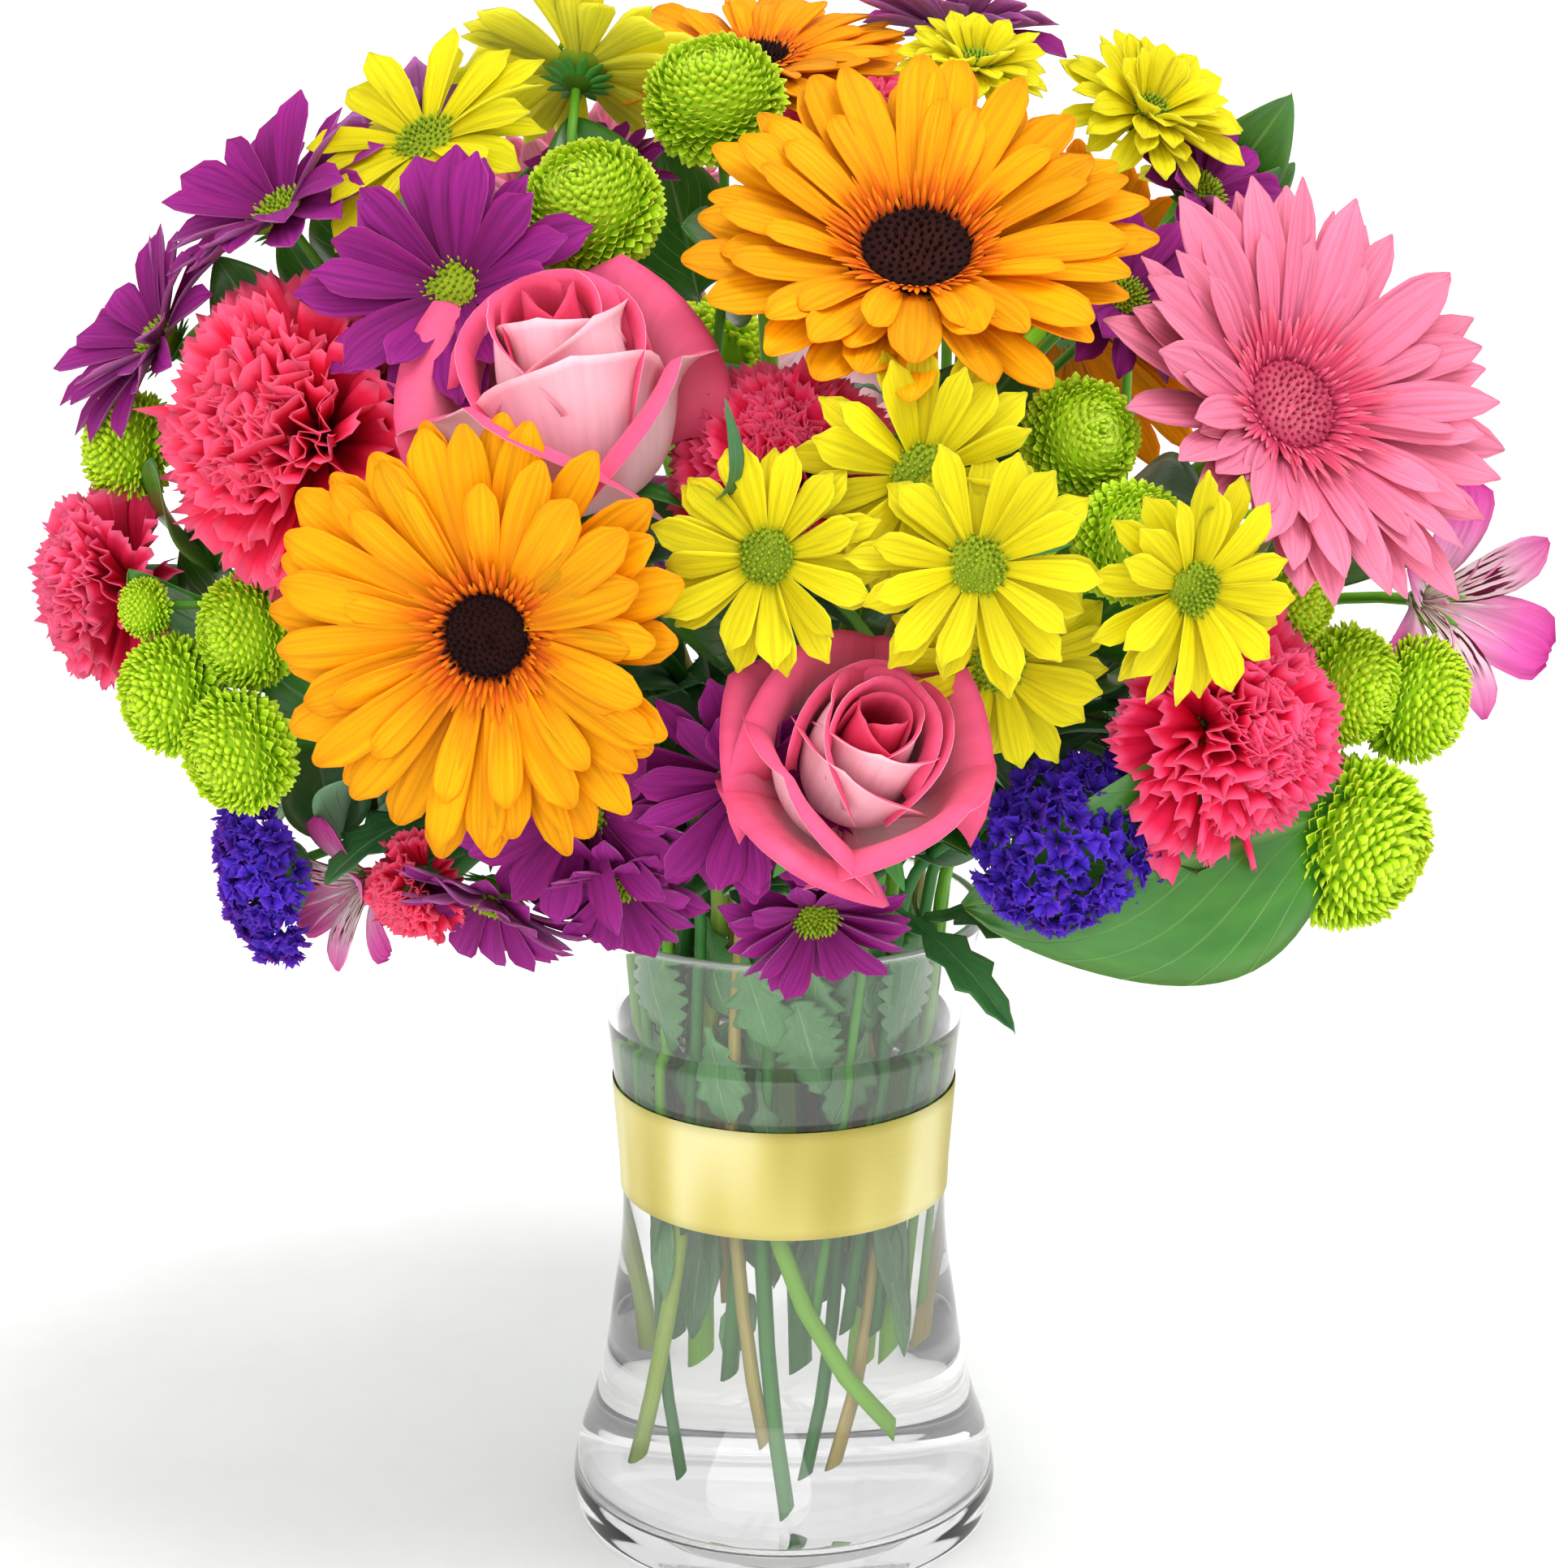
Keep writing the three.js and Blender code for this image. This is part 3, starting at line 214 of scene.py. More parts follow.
# %% [markdown]
# ## Facing a bloom
#
# Every bloom is modelled round its own axis, looking along +Z, and then turned. Rotation angles on an object
# would do that too. A 3 × 3 matrix whose columns are the bloom's side, its up and the way that it looks is
# chosen, because numpy can turn all points of a bloom with it in one product.

# %% Which way a bloom looks
def facing(turn, tilt):
    """The direction that a bloom looks in, as a vector of length 1."""
    turn, tilt = math.radians(turn), math.radians(tilt)
    return np.array([math.sin(turn) * math.cos(tilt), -math.cos(turn) * math.cos(tilt), math.sin(tilt)])


def stand(at, turn, tilt):
    """The place of a bloom: its matrix and its middle."""
    out = facing(turn, tilt)
    side = np.array([math.cos(math.radians(turn)), math.sin(math.radians(turn)), 0])
    return np.stack([side, np.cross(out, side), out], axis=1), np.array(at, float)


print("the left gerbera looks along", facing(-11, 1).round(2))

# %% [markdown]
# ## Leading the stems
#
# A cut stem stands on the glass floor or stops a little above it, leans across the vase to the rim, and bows out
# to the back of its bloom. It could be drawn point by point; a cubic curve needs only its two ends and the
# direction at each, which is all that the tables know. Florists never cut the stems to one length, and the eye
# sees that at once through the glass, so the ones that show have their end written down.

# %% Where the stems cross and end
FOOT_HEIGHT, RIM_HEIGHT, STEM_TWIST = 11.5, 196, -30
FOOT_RINGS, RIM_RINGS = (0, 11, 22, 33), (0, 15, 30.5, 46)
# Where each stem ends that shows through the glass: x, y, z. All others end 30 to 50% of the way up to the rim.
FEET = {
    "rose_lower": (1, -31, 11.5), "gerbera_orange_centre": (31, -30, 37), "yellow_daisy_front": (12, -27, 25),
    "carnation_middle": (5, -27, 22), "gerbera_orange_left": (-37, -14, 20), "carnation_left": (-25, -19, 18),
    "purple_daisy_low": (-4.5, -30, 34), "gerbera_pink_right": (24, -8, 52), "rose_upper": (-13, -15, 50),
    "gerbera_orange_back": (14, 20, 38), "gerbera_pink_back": (-16, 17, 42), "rose_back": (3, 30, 36),
    "purple_daisy_back": (-26, 16, 46), "yellow_daisy_back": (27, 12, 48), "carnation_back_left": (-22, 6, 54),
}
# Some stems also bend: this is the point that they bend towards.
BENDS = {
    "gerbera_orange_centre": (-27, -50, 112), "yellow_daisy_front": (34, -24, 110), "rose_lower": (-12, -26, 110),
    "carnation_middle": (22, -18, 110), "purple_daisy_low": (-18, -28, 110), "gerbera_orange_left": (-24, -30, 110),
    "carnation_left": (-40, -14, 110),
}
print("stems with an end of their own:", len(FEET), "and with a bend:", len(BENDS))

# %% The path of a stem
def slot_point(slot, rings, height, twist):
    """Where a stem passes a height; the twist makes the spiral."""
    angle = math.radians(slot[1] + twist)
    return np.array([math.sin(angle) * rings[slot[0]], -math.cos(angle) * rings[slot[0]], height])


def cubic_curve(a, b, c, d, steps):
    """From a to d; it leaves towards b and arrives from c."""
    t = np.linspace(0, 1, steps + 1)[:, None]
    return (1 - t) ** 3 * a + 3 * t * (1 - t) ** 2 * b + 3 * t * t * (1 - t) * c + t ** 3 * d


def stem_path(name, slot, end, out, steps=14):
    """A straight or bent shaft up to the rim, then a bow to end, where it arrives along out."""
    foot = slot_point(slot, FOOT_RINGS, FOOT_HEIGHT, STEM_TWIST)
    rim = slot_point(slot, RIM_RINGS, RIM_HEIGHT, 0)
    reach = np.linalg.norm(end - rim)
    rise = (rim - foot) / np.linalg.norm(rim - foot)
    bow = cubic_curve(rim, rim + rise * reach * 0.4, end - out * reach * 0.3, end, steps)
    cut = 0.4 + 0.1 * math.sin(slot[1] * 1.7 + slot[0])
    foot = np.array(FEET[name], float) if name in FEET else foot + (rim - foot) * cut
    bend = np.array(BENDS[name], float) if name in BENDS else (foot + rim) / 2
    shaft = cubic_curve(foot, (foot + 2 * bend) / 3, (rim + 2 * bend) / 3, rim, 7)[:-1]
    return np.concatenate([shaft, bow])


print("a stem has", len(stem_path("rose_lower", (3, 0), np.array([0, -140.0, 250]), facing(0, 0))), "points")

# %% [markdown]
# ## Thin things as closed shells
#
# Petals and leaves are sheets. A plane with a Solidify modifier would do for one of them, but this bouquet has
# tens of thousands, so numpy builds them in stacks. Each starts as a grid of points, along it from foot to tip
# and across it from side to side. One function gives the whole stack a front, a back and a rim, thinner towards
# the edge, so every petal is a closed solid. A pile collects what belongs to one piece.
#
# Each vertex also keeps its `spot`: where it is across and along its petal, and a random tone for the whole
# petal. `back` is 1 on the underside. The finishes read these two to colour tips, veins and backs.

# %% Collecting blades in a pile
class Pile:
    """Points, faces, spots and backs of many shells, kept until they become one piece."""

    def __init__(self):
        self.points, self.faces, self.spots, self.backs, self.count = [], [], [], [], 0

    def add(self, points, faces, spots, backs=None, part=0):
        self.points.append(points)
        for group in faces:
            self.faces.append((group + self.count, part))
        self.spots.append(spots)
        self.backs.append(np.zeros(len(points)) if backs is None else backs)
        self.count += len(points)


print("an empty pile holds", Pile().count, "points")

# %% Closing a sheet
def shells(pile, grid, thick, tone, part=0):
    """grid[sheet, along, across] holds points; each sheet becomes a closed blade of that thickness.
    part says which of the piece's finishes it gets."""
    count, rows, columns = grid.shape[:3]
    normal = np.cross(np.gradient(grid, axis=1), np.gradient(grid, axis=2))
    normal /= np.linalg.norm(normal, axis=3, keepdims=True) + 1e-9
    edge = np.full((rows, columns), 0.3)
    edge[1:-1, 1:-1] = 1
    off = normal * (thick / 2) * edge[None, :, :, None]
    points = np.stack([grid + off, grid - off], axis=1)
    index = np.arange(2 * rows * columns).reshape(2, rows, columns)
    front = [index[0, :-1, :-1], index[0, 1:, :-1], index[0, 1:, 1:], index[0, :-1, 1:]]
    back = [index[1, :-1, :-1], index[1, :-1, 1:], index[1, 1:, 1:], index[1, 1:, :-1]]
    ring = np.concatenate([index[0, :, 0], index[0, -1, 1:], index[0, -2::-1, -1], index[0, 0, -2:0:-1]])
    after = np.roll(ring, -1)
    under = rows * columns
    walls = np.stack([after, ring, ring + under, after + under], axis=1)
    faces = np.concatenate([np.stack([corner.ravel() for corner in side], axis=1) for side in (front, back)])
    faces = np.concatenate([faces, walls])
    faces = (faces[None] + np.arange(count)[:, None, None] * 2 * under).reshape(-1, 4)
    spots = np.zeros((count, 2, rows, columns, 3))
    spots[..., 0] = np.linspace(-1, 1, columns)
    spots[..., 1] = np.linspace(0, 1, rows)[:, None]
    spots[..., 2] = np.asarray(tone, float).reshape(-1, 1, 1, 1)
    backs = np.zeros((count, 2, rows, columns))
    backs[:, 1] = 1
    pile.add(points.reshape(-1, 3), [faces], spots.reshape(-1, 3), backs.ravel(), part)


test = Pile()
shells(test, np.stack([*np.meshgrid([0.0, 1, 2], [0.0, 1, 2]), np.zeros((3, 3))], axis=2)[None], 0.1, [0.5])
print("a sheet of 3 x 3 points becomes", test.count, "points and", len(test.faces[0][0]), "faces")

# %% [markdown]
# A pile becomes one Blender object. It rides on the bouquet's body and takes the place of the imported nodes that
# it stands for.

# %% Making a piece
def make_piece(name, pile, finishes, nodes=()):
    """One Blender object from a pile. nodes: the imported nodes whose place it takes."""
    mesh = bpy.data.meshes.new(name)
    faces = [face for group, _ in pile.faces for face in group.tolist()]
    mesh.from_pydata((np.concatenate(pile.points) * MM).tolist(), [], faces)
    parts = np.concatenate([np.full(len(group), part) for group, part in pile.faces])
    mesh.polygons.foreach_set("material_index", parts.astype(np.int32))
    mesh.polygons.foreach_set("use_smooth", np.full(len(parts), True))
    spot = mesh.attributes.new("spot", "FLOAT_VECTOR", "POINT")
    spot.data.foreach_set("vector", np.concatenate(pile.spots).astype(np.float32).ravel())
    back = mesh.attributes.new("back", "FLOAT", "POINT")
    back.data.foreach_set("value", np.concatenate(pile.backs).astype(np.float32))
    for finish in finishes:
        mesh.materials.append(finish)
    mesh.update()
    piece = bpy.data.objects.new(name, mesh)
    bpy.context.collection.objects.link(piece)
    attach(piece, "root")
    if nodes:
        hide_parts(*nodes)
    print(f"{name}: {len(mesh.vertices)} vertices")
    return piece

# %% [markdown]
# ## One petal function for most flowers
#
# A gerbera ray, a daisy petal, a frill of a carnation and the floret of a button are all strips that leave the
# flower's axis at one angle and end at another. Each could have a function of its own. One function with many
# settings is shorter, and all flowers gain when it gets better: it bends a strip from `rise` at its foot to
# `droop` at its tip, with an outline, a cup or a groove across, and ruffles and teeth where the flower has them.
# All petals of a ring are made at once.

# %% Petals
rng = np.random.default_rng(7)


def petals(pile, place, turn, length, width, outline, start=4.0, height=0.0, rise=10.0, droop=0.0, bend=1.4,
           cup=0.0, roll=0.0, groove=0.0, sway=0.0, ruffle=0.0, waves=3, teeth=0.0, round_end=0.0,
           steps=(9, 5), thick=0.5, tone=None, part=0):
    """A ring of petals. turn: degrees round the axis, one for each petal. start and height: where it leaves the
    axis. rise and droop: its slope at foot and tip, in degrees; bend above 1 keeps the bend for the tip. cup
    lifts its sides, roll turns it about its length, sway bends it sideways. steps: points along and across.
    tone: from 0 to 1 for each petal, or random. Lengths are in millimetres."""
    turn = np.atleast_1d(np.asarray(turn, float))
    count = len(turn)
    col = lambda value: np.broadcast_to(np.asarray(value, float), (count,)).reshape(count, 1, 1)
    v = np.linspace(0, 1, steps[0])[None, :, None]
    u = np.linspace(-1, 1, steps[1])[None, None, :]
    angle = np.radians(col(rise) + (col(droop) - col(rise)) * v ** bend)
    middle = (angle[:, 1:] + angle[:, :-1]) / 2
    step = col(length) / (steps[0] - 1)
    out = np.concatenate([col(0), np.cumsum(np.cos(middle), axis=1)], axis=1) * step + col(start)
    up = np.concatenate([col(0), np.cumsum(np.sin(middle), axis=1)], axis=1) * step + col(height)
    half = col(width) / 2 * np.interp(v, *np.array(outline, float).T)
    across = u * half + col(sway) * v ** 2 * col(length)
    phase = rng.uniform(0, 2 * np.pi, (count, 1, 1))
    lift = col(cup) * u ** 2 * half + col(groove) * np.cos(u * np.pi * 1.5) * np.sin(np.pi * v)
    lift = lift + col(ruffle) * v ** 1.5 * np.sin(waves * np.pi * u + phase) * (0.6 + 0.4 * np.sin(7 * u + phase))
    tooth = np.arange(steps[1]) % 2
    pull = (col(teeth) * tooth * v ** 5 + col(round_end) * u ** 2 * v) * col(length)
    out, up = out - np.cos(angle) * pull, up - np.sin(angle) * pull
    tip, lean = np.radians(col(roll)), lift + across * np.sin(np.radians(col(roll)))
    reach = out - np.sin(angle) * lean
    side = across * np.cos(tip)
    around = np.radians(col(turn))
    grid = np.stack([reach * np.cos(around) - side * np.sin(around),
                     reach * np.sin(around) + side * np.cos(around),
                     up + np.cos(angle) * lean], axis=3)
    turned, at = place
    if turned.ndim == 3:
        grid = np.einsum("nij,nvuj->nvui", turned, grid) + at[:, None, None, :]
    else:
        grid = grid @ turned.T + at
    shells(pile, grid, thick, rng.uniform(0, 1, count) if tone is None else col(tone), part)


print("the random stream starts from", rng.bit_generator.seed_seq.entropy)

# %% [markdown]
# ## Round things: discs, cups and stems
#
# Green cups, discs, the vase and the water are turned shapes; stems are round rods; the bristles of an eye are
# many and tiny. Blender's Screw modifier and bevelled curves could make the first two. They are built as points
# here, like the petals, so that they get the same `spot` values and land in the same pile.

# %% Lathe
def lathe(pile, profile, sides=24, place=None, tone=0.5, part=0):
    """profile: (radius, height) from axis to axis."""
    profile = np.array(profile, float)
    angle = np.arange(sides) * 2 * np.pi / sides
    ring = profile[1:-1]
    points = np.stack([ring[:, :1] * np.cos(angle), ring[:, :1] * np.sin(angle),
                       ring[:, 1:] + 0 * angle], axis=2).reshape(-1, 3)
    ends = np.array([[0, 0, profile[0, 1]], [0, 0, profile[-1, 1]]])
    points = np.concatenate([points, ends])
    index = np.arange(len(ring) * sides).reshape(len(ring), sides)
    after = np.roll(index, -1, axis=1)
    quads = np.stack([index[:-1], after[:-1], after[1:], index[1:]], axis=2).reshape(-1, 4)
    first, last = len(points) - 2, len(points) - 1
    low = np.stack([np.full(sides, first), after[0], index[0]], axis=1)
    high = np.stack([np.full(sides, last), index[-1], after[-1]], axis=1)
    along = np.repeat(np.linspace(0, 1, len(ring)), sides)
    spots = np.stack([np.tile(angle / np.pi - 1, len(ring)), along, np.full(len(along), tone)], axis=1)
    spots = np.concatenate([spots, [[0, 0, tone], [0, 1, tone]]])
    if place is not None:
        points = points @ place[0].T + place[1]
    pile.add(points, [quads, low, high], spots, part=part)


test = Pile()
lathe(test, [(0, 0), (2, 0), (2, 5), (0, 5)])
print("a turned peg has", test.count, "points")

# %% Rod
def rod(pile, path, radius, sides=8, tone=0.5, cut=0.0):
    """A stem along a path; radius may change along it, and cut slants its foot."""
    path = np.asarray(path, float)
    count = len(path)
    radius = np.broadcast_to(np.asarray(radius, float), (count,))
    ahead = np.gradient(path, axis=0)
    ahead /= np.linalg.norm(ahead, axis=1, keepdims=True)
    helper = np.array([1.0, 0, 0]) if abs(ahead[0, 0]) < 0.8 else np.array([0, 1.0, 0])
    frames, side = [], helper
    for direction in ahead:
        side = side - direction * (side @ direction)
        side = side / np.linalg.norm(side)
        frames.append((side, np.cross(direction, side)))
    across, ups = (np.array([pair[k] for pair in frames]) for k in (0, 1))
    angle = np.arange(sides) * 2 * np.pi / sides
    ring = (across[:, None] * np.cos(angle)[None, :, None] + ups[:, None] * np.sin(angle)[None, :, None])
    points = path[:, None] + ring * radius[:, None, None]
    points[0] += ahead[0] * (cut * radius[0] * (1 + np.cos(angle)))[:, None]
    points = np.concatenate([points.reshape(-1, 3), [points[0].mean(axis=0)], [path[-1]]])
    index = np.arange(count * sides).reshape(count, sides)
    after = np.roll(index, -1, axis=1)
    quads = np.stack([index[:-1], after[:-1], after[1:], index[1:]], axis=2).reshape(-1, 4)
    low = np.stack([np.full(sides, count * sides), after[0], index[0]], axis=1)
    high = np.stack([np.full(sides, count * sides + 1), index[-1], after[-1]], axis=1)
    spots = np.stack([np.tile(angle / np.pi - 1, count), np.repeat(np.linspace(0, 1, count), sides),
                      np.full(count * sides, tone)], axis=1)
    spots = np.concatenate([spots, [[0, 0, tone], [0, 1, tone]]])
    pile.add(points, [quads, low, high], spots)


test = Pile()
rod(test, [(0, 0, 0), (0, 0, 5), (0, 0, 10)], 1.0)
print("a short rod has", test.count, "points")

# %% [markdown]
# Sunflowers and daisies pack their florets in a spiral in which each is a golden angle, 137.5 degrees, further
# round than the last. It is as quick to compute as a random scatter and never leaves a gap or a clump.

# %% Seeds
GOLDEN = np.radians(137.508)
print("the golden angle:", round(float(GOLDEN), 4), "radians")


def seeds(pile, place, count, reach, dome, size, tall, height=0.0, inner=0.0, part=0):
    """Pointed bristles on a dome: reach is its radius and dome its height."""
    k = np.arange(count)
    out = inner + (reach - inner) * np.sqrt((k + 0.5) / count)
    turn = k * GOLDEN
    middle = np.stack([out * np.cos(turn), out * np.sin(turn), height + dome * (1 - (out / reach) ** 2)], axis=1)
    lean = np.stack([np.cos(turn) * out / reach * 0.6, np.sin(turn) * out / reach * 0.6, np.ones(count)], axis=1)
    lean /= np.linalg.norm(lean, axis=1, keepdims=True)
    shape = np.array([[1, 0, 0.2], [0, 1, 0.2], [-1, 0, 0.2], [0, -1, 0.2], [0, 0, 1], [0, 0, -0.6]])
    grow = rng.uniform(0.8, 1.2, count)
    points = middle[:, None] + shape[None, :, :2] @ np.eye(2, 3) * size * grow[:, None, None]
    points = points + lean[:, None] * (shape[None, :, 2:] * tall * grow[:, None, None])
    faces = np.array([[0, 1, 4], [1, 2, 4], [2, 3, 4], [3, 0, 4], [1, 0, 5], [2, 1, 5], [3, 2, 5], [0, 3, 5]])
    faces = (faces[None] + k[:, None, None] * 6).reshape(-1, 3)
    spots = np.zeros((count, 6, 3))
    spots[..., 0] = (out / reach)[:, None]
    spots[..., 1] = [0.4, 0.4, 0.4, 0.4, 1, 0]
    spots[..., 2] = rng.uniform(0, 1, count)[:, None]
    points = points.reshape(-1, 3) @ place[0].T + place[1]
    pile.add(points, [faces], spots.reshape(-1, 3), part=part)

# %% [markdown]
# ## Leaves
#
# A leaf runs from its base on the stem to its tip. Its two halves fold up from the midrib and the whole blade
# arches. A picture of a leaf on a plane would look right from one side only, so each leaf is a real blade. The
# outline makes the kind: salal leaves are plain ovals, chrysanthemum leaves are lobed, or toothed when young.

# %% Outlines of leaves
# (share of the length, share of the width)
OVAL = [(0, 0.07), (0.06, 0.08)] + [(0.06 + 0.047 * k, math.sin(math.pi * (k / 20) ** 0.8) ** 0.75 + 0.02)
                                    for k in range(1, 21)]
LOBED = [(0, 0.1), (0.16, 0.12), (0.24, 0.42), (0.3, 0.62), (0.34, 0.34), (0.42, 0.7), (0.5, 1), (0.54, 0.55),
         (0.62, 0.72), (0.7, 0.9), (0.74, 0.5), (0.82, 0.5), (0.87, 0.52), (0.92, 0.3), (0.97, 0.2), (1, 0.03)]
LANCE = [(0, 0.3), (0.2, 0.7), (0.45, 1), (0.7, 0.8), (0.9, 0.35), (1, 0.03)]
TOOTHED = [(k / 24, math.sin(math.pi * (k / 24) ** 0.8) ** 0.7 * (1 if k % 3 else 0.66) + 0.03) for k in range(25)]
print("leaf outlines:", len(OVAL), len(LOBED), len(LANCE), len(TOOTHED), "points")

# %% Leaf blades
def leaves(pile, base, tip, out, width, outline=OVAL, arch=0.12, fold=0.3, wave=0.02, steps=(15, 7), thick=0.5,
           part=0):
    """Leaves from base to tip whose upper side looks along out. arch lifts the middle, in shares of the length,
    fold lifts the sides, and wave ripples them."""
    base, tip, out = (np.atleast_2d(np.asarray(value, float)) for value in (base, tip, out))
    count = len(base)
    col = lambda value: np.broadcast_to(np.asarray(value, float), (count,)).reshape(count, 1, 1, 1)
    length = np.linalg.norm(tip - base, axis=1)
    along = (tip - base) / length[:, None]
    side = np.cross(along, out)
    side /= np.linalg.norm(side, axis=1, keepdims=True) + 1e-9
    up = np.cross(side, along)
    v = np.linspace(0, 1, steps[0])[None, :, None, None]
    u = np.linspace(-1, 1, steps[1])[None, None, :, None]
    long, half = col(length), col(width) / 2 * np.interp(v, *np.array(outline, float).T)
    phase = rng.uniform(0, 2 * np.pi, (count, 1, 1, 1))
    lift = long * col(arch) * np.sin(np.pi * v ** 1.2) + half * col(fold) * np.abs(u) ** 1.3
    lift = lift + long * wave * np.abs(u) * np.sin(9 * v + phase + 1.5 * u)
    grid = base[:, None, None] + along[:, None, None] * v * long - side[:, None, None] * u * half
    grid = grid + up[:, None, None] * lift
    shells(pile, grid, thick, rng.uniform(0, 1, count), part)


print("an oval leaf is widest at", round(max(OVAL, key=lambda row: row[1])[0], 2), "of its length")

# %% [markdown]
# ## Colours and nodes
#
# Colours are written as the hex values that a screen shows, and one function turns them to the linear values
# that light is computed in. One more function adds a node with its settings and links, and short ones after it
# add the kinds that come back in every material. Materials could be built by hand in the shader editor, but
# these lines say the same in a form that can be read and compared.

# %% Colours and nodes
def linear(code):
    """A screen's hex value as linear red, green, blue and full opacity."""
    values = [int(code[i:i + 2], 16) / 255 for i in (1, 3, 5)]
    return [c / 12.92 if c <= 0.04045 else ((c + 0.055) / 1.055) ** 2.4 for c in values] + [1.0]


def add(tree, kind, inputs=None, **settings):
    """A node with its settings; each input gets a link if it is a socket, and else a value."""
    made = tree.nodes.new(kind)
    for key, value in settings.items():
        setattr(made, key, value)
    for key, value in (inputs or {}).items():
        if isinstance(value, bpy.types.NodeSocket):
            tree.links.new(value, made.inputs[key])
        else:
            made.inputs[key].default_value = value
    return made


print("leaf green in linear light:", [round(c, 3) for c in linear("#428a22")])

# %% Nodes that come back in every material
def reckon(tree, operation, *values):
    """The result of a Math node for up to three links or numbers."""
    return add(tree, "ShaderNodeMath", dict(enumerate(values)), operation=operation).outputs[0]


def stretch(tree, spot, scale):
    """The spot times a scale for each axis, so that a pattern is drawn out along one of them."""
    return add(tree, "ShaderNodeVectorMath", {0: spot, 1: scale}, operation="MULTIPLY").outputs[0]


def noise(tree, spot, detail, scale=1.0):
    """Soft random blots, one to a unit of the spot divided by scale."""
    return add(tree, "ShaderNodeTexNoise", {"Vector": spot, "Scale": scale, "Detail": detail}).outputs["Fac"]


def remap(tree, value, low, high, to=(0.0, 1.0)):
    """Turns the range from low to high into the range `to`, and stops at its ends."""
    return add(tree, "ShaderNodeMapRange", {0: value, 1: low, 2: high, 3: to[0], 4: to[1]}).outputs[0]


def mix(tree, share, first, second):
    """Two colours by share: 0 is all the first, 1 all the second."""
    return add(tree, "ShaderNodeMix", {0: share, 6: first, 7: second}, data_type="RGBA").outputs[2]


def read_spot(tree):
    """The spot of each point, and its parts X, Y and Z."""
    spot = add(tree, "ShaderNodeAttribute", attribute_name="spot").outputs["Vector"]
    return spot, add(tree, "ShaderNodeSeparateXYZ", {"Vector": spot}).outputs


def read_back(tree):
    """1 on the underside of a blade, else 0."""
    return add(tree, "ShaderNodeAttribute", attribute_name="back").outputs["Fac"]


def emboss(tree, main, height, strength, distance, invert=False):
    """Fine relief from a pattern, by a Bump node."""
    relief = add(tree, "ShaderNodeBump", {"Height": height, "Strength": strength, "Distance": distance},
                 invert=invert)
    tree.links.new(relief.outputs["Normal"], main.inputs["Normal"])


helpers = (reckon, stretch, noise, remap, mix, read_spot, read_back, emboss)
print("short functions for nodes:", [helper.__name__ for helper in helpers])

# %% A new material
def new_finish(name, **shader):
    """A material; roughness=0.5 and the like set the sockets of its shader."""
    finish = bpy.data.materials.new(name)
    finish.use_nodes = True
    tree = finish.node_tree
    main = tree.nodes["Principled BSDF"]
    for key, value in shader.items():
        main.inputs[key.replace("_", " ").title().replace("Ior", "IOR")].default_value = value
    return finish, tree, main


def ramp(tree, value, stops):
    """Colours along a value: stops are (position, hex)."""
    made = add(tree, "ShaderNodeValToRGB", {"Fac": value})
    while len(made.color_ramp.elements) < len(stops):
        made.color_ramp.elements.new(0.5)
    for element, (position, code) in zip(made.color_ramp.elements, stops):
        element.position = position
        element.color = linear(code)
    return made.outputs["Color"]


print("materials so far:", len(bpy.data.materials))

# %% [markdown]
# ## The skin of a petal
#
# A petal is a moist skin of cells, matt like velvet because the cells bulge, and thin enough for light to
# scatter inside it. One flat colour would look like plastic. The finish runs a ramp of colour from foot to tip,
# darkens it in fine streaks along the petal for the veins, gives each petal a slightly different tone and, where
# it is known, a paler back. Roughness starts at 0.65, typical for matt plant skin, and a little subsurface
# scattering gives the glow.
#
# The streaks come from noise stretched along the petal. `spot` runs over 2 units across a petal, so on a ray
# 12 mm wide one unit is 6 mm and a scale of 5 puts veins about 1.2 mm apart, as on a real one.

# %% A petal's finish
def petal_finish(name, stops, back=None, back_share=0.5, veins=0.25, vein_scale=5.0, tones=(0.88, 1.08),
                 edge=None, dashes=None, **shader):
    """stops: colours from foot to tip. back and back_share: colour of the underside and how much of it shows.
    veins: how much the streaks darken. tones: darkest and lightest petal. edge: colour of the rim. dashes:
    colour of dashes in the throat."""
    values = dict(roughness=0.65, subsurface_weight=0.2, subsurface_scale=0.003, specular_ior_level=0.12)
    finish, tree, main = new_finish(name, **{**values, **shader})
    spot, parts = read_spot(tree)
    colour = ramp(tree, parts["Y"], stops)
    if edge:
        rim = reckon(tree, "MULTIPLY", parts["X"], parts["X"])
        share = reckon(tree, "MAXIMUM", rim, reckon(tree, "POWER", parts["Y"], 3.0))
        colour = mix(tree, reckon(tree, "POWER", share, 1.6), colour, linear(edge))
    if dashes:                # 7 to a unit of 9 mm makes them 1.3 mm wide
        lines = remap(tree, noise(tree, stretch(tree, spot, (7.0, 3.2, 40.0)), 1.0), 0.54, 0.57)
        zone = remap(tree, parts["Y"], 0.75, 0.6)
        colour = mix(tree, reckon(tree, "MULTIPLY", lines, zone), colour, linear(dashes))
    streaks = noise(tree, stretch(tree, spot, (vein_scale, 1.2, 40.0)), 3.0)
    dark = remap(tree, streaks, 0.35, 0.62, (1 - veins, 1.0))
    shade = reckon(tree, "MULTIPLY", dark, remap(tree, parts["Z"], 0.0, 1.0, tones))
    if back:
        colour = mix(tree, reckon(tree, "MULTIPLY", read_back(tree), back_share), colour, linear(back))
    shaded = add(tree, "ShaderNodeHueSaturation", {"Value": shade, "Color": colour})
    tree.links.new(shaded.outputs["Color"], main.inputs["Base Color"])
    emboss(tree, main, streaks, 0.25, 0.0006)
    return finish


print("veins of a ray 12 mm wide:", 12 / 2 / 5.0, "mm apart")
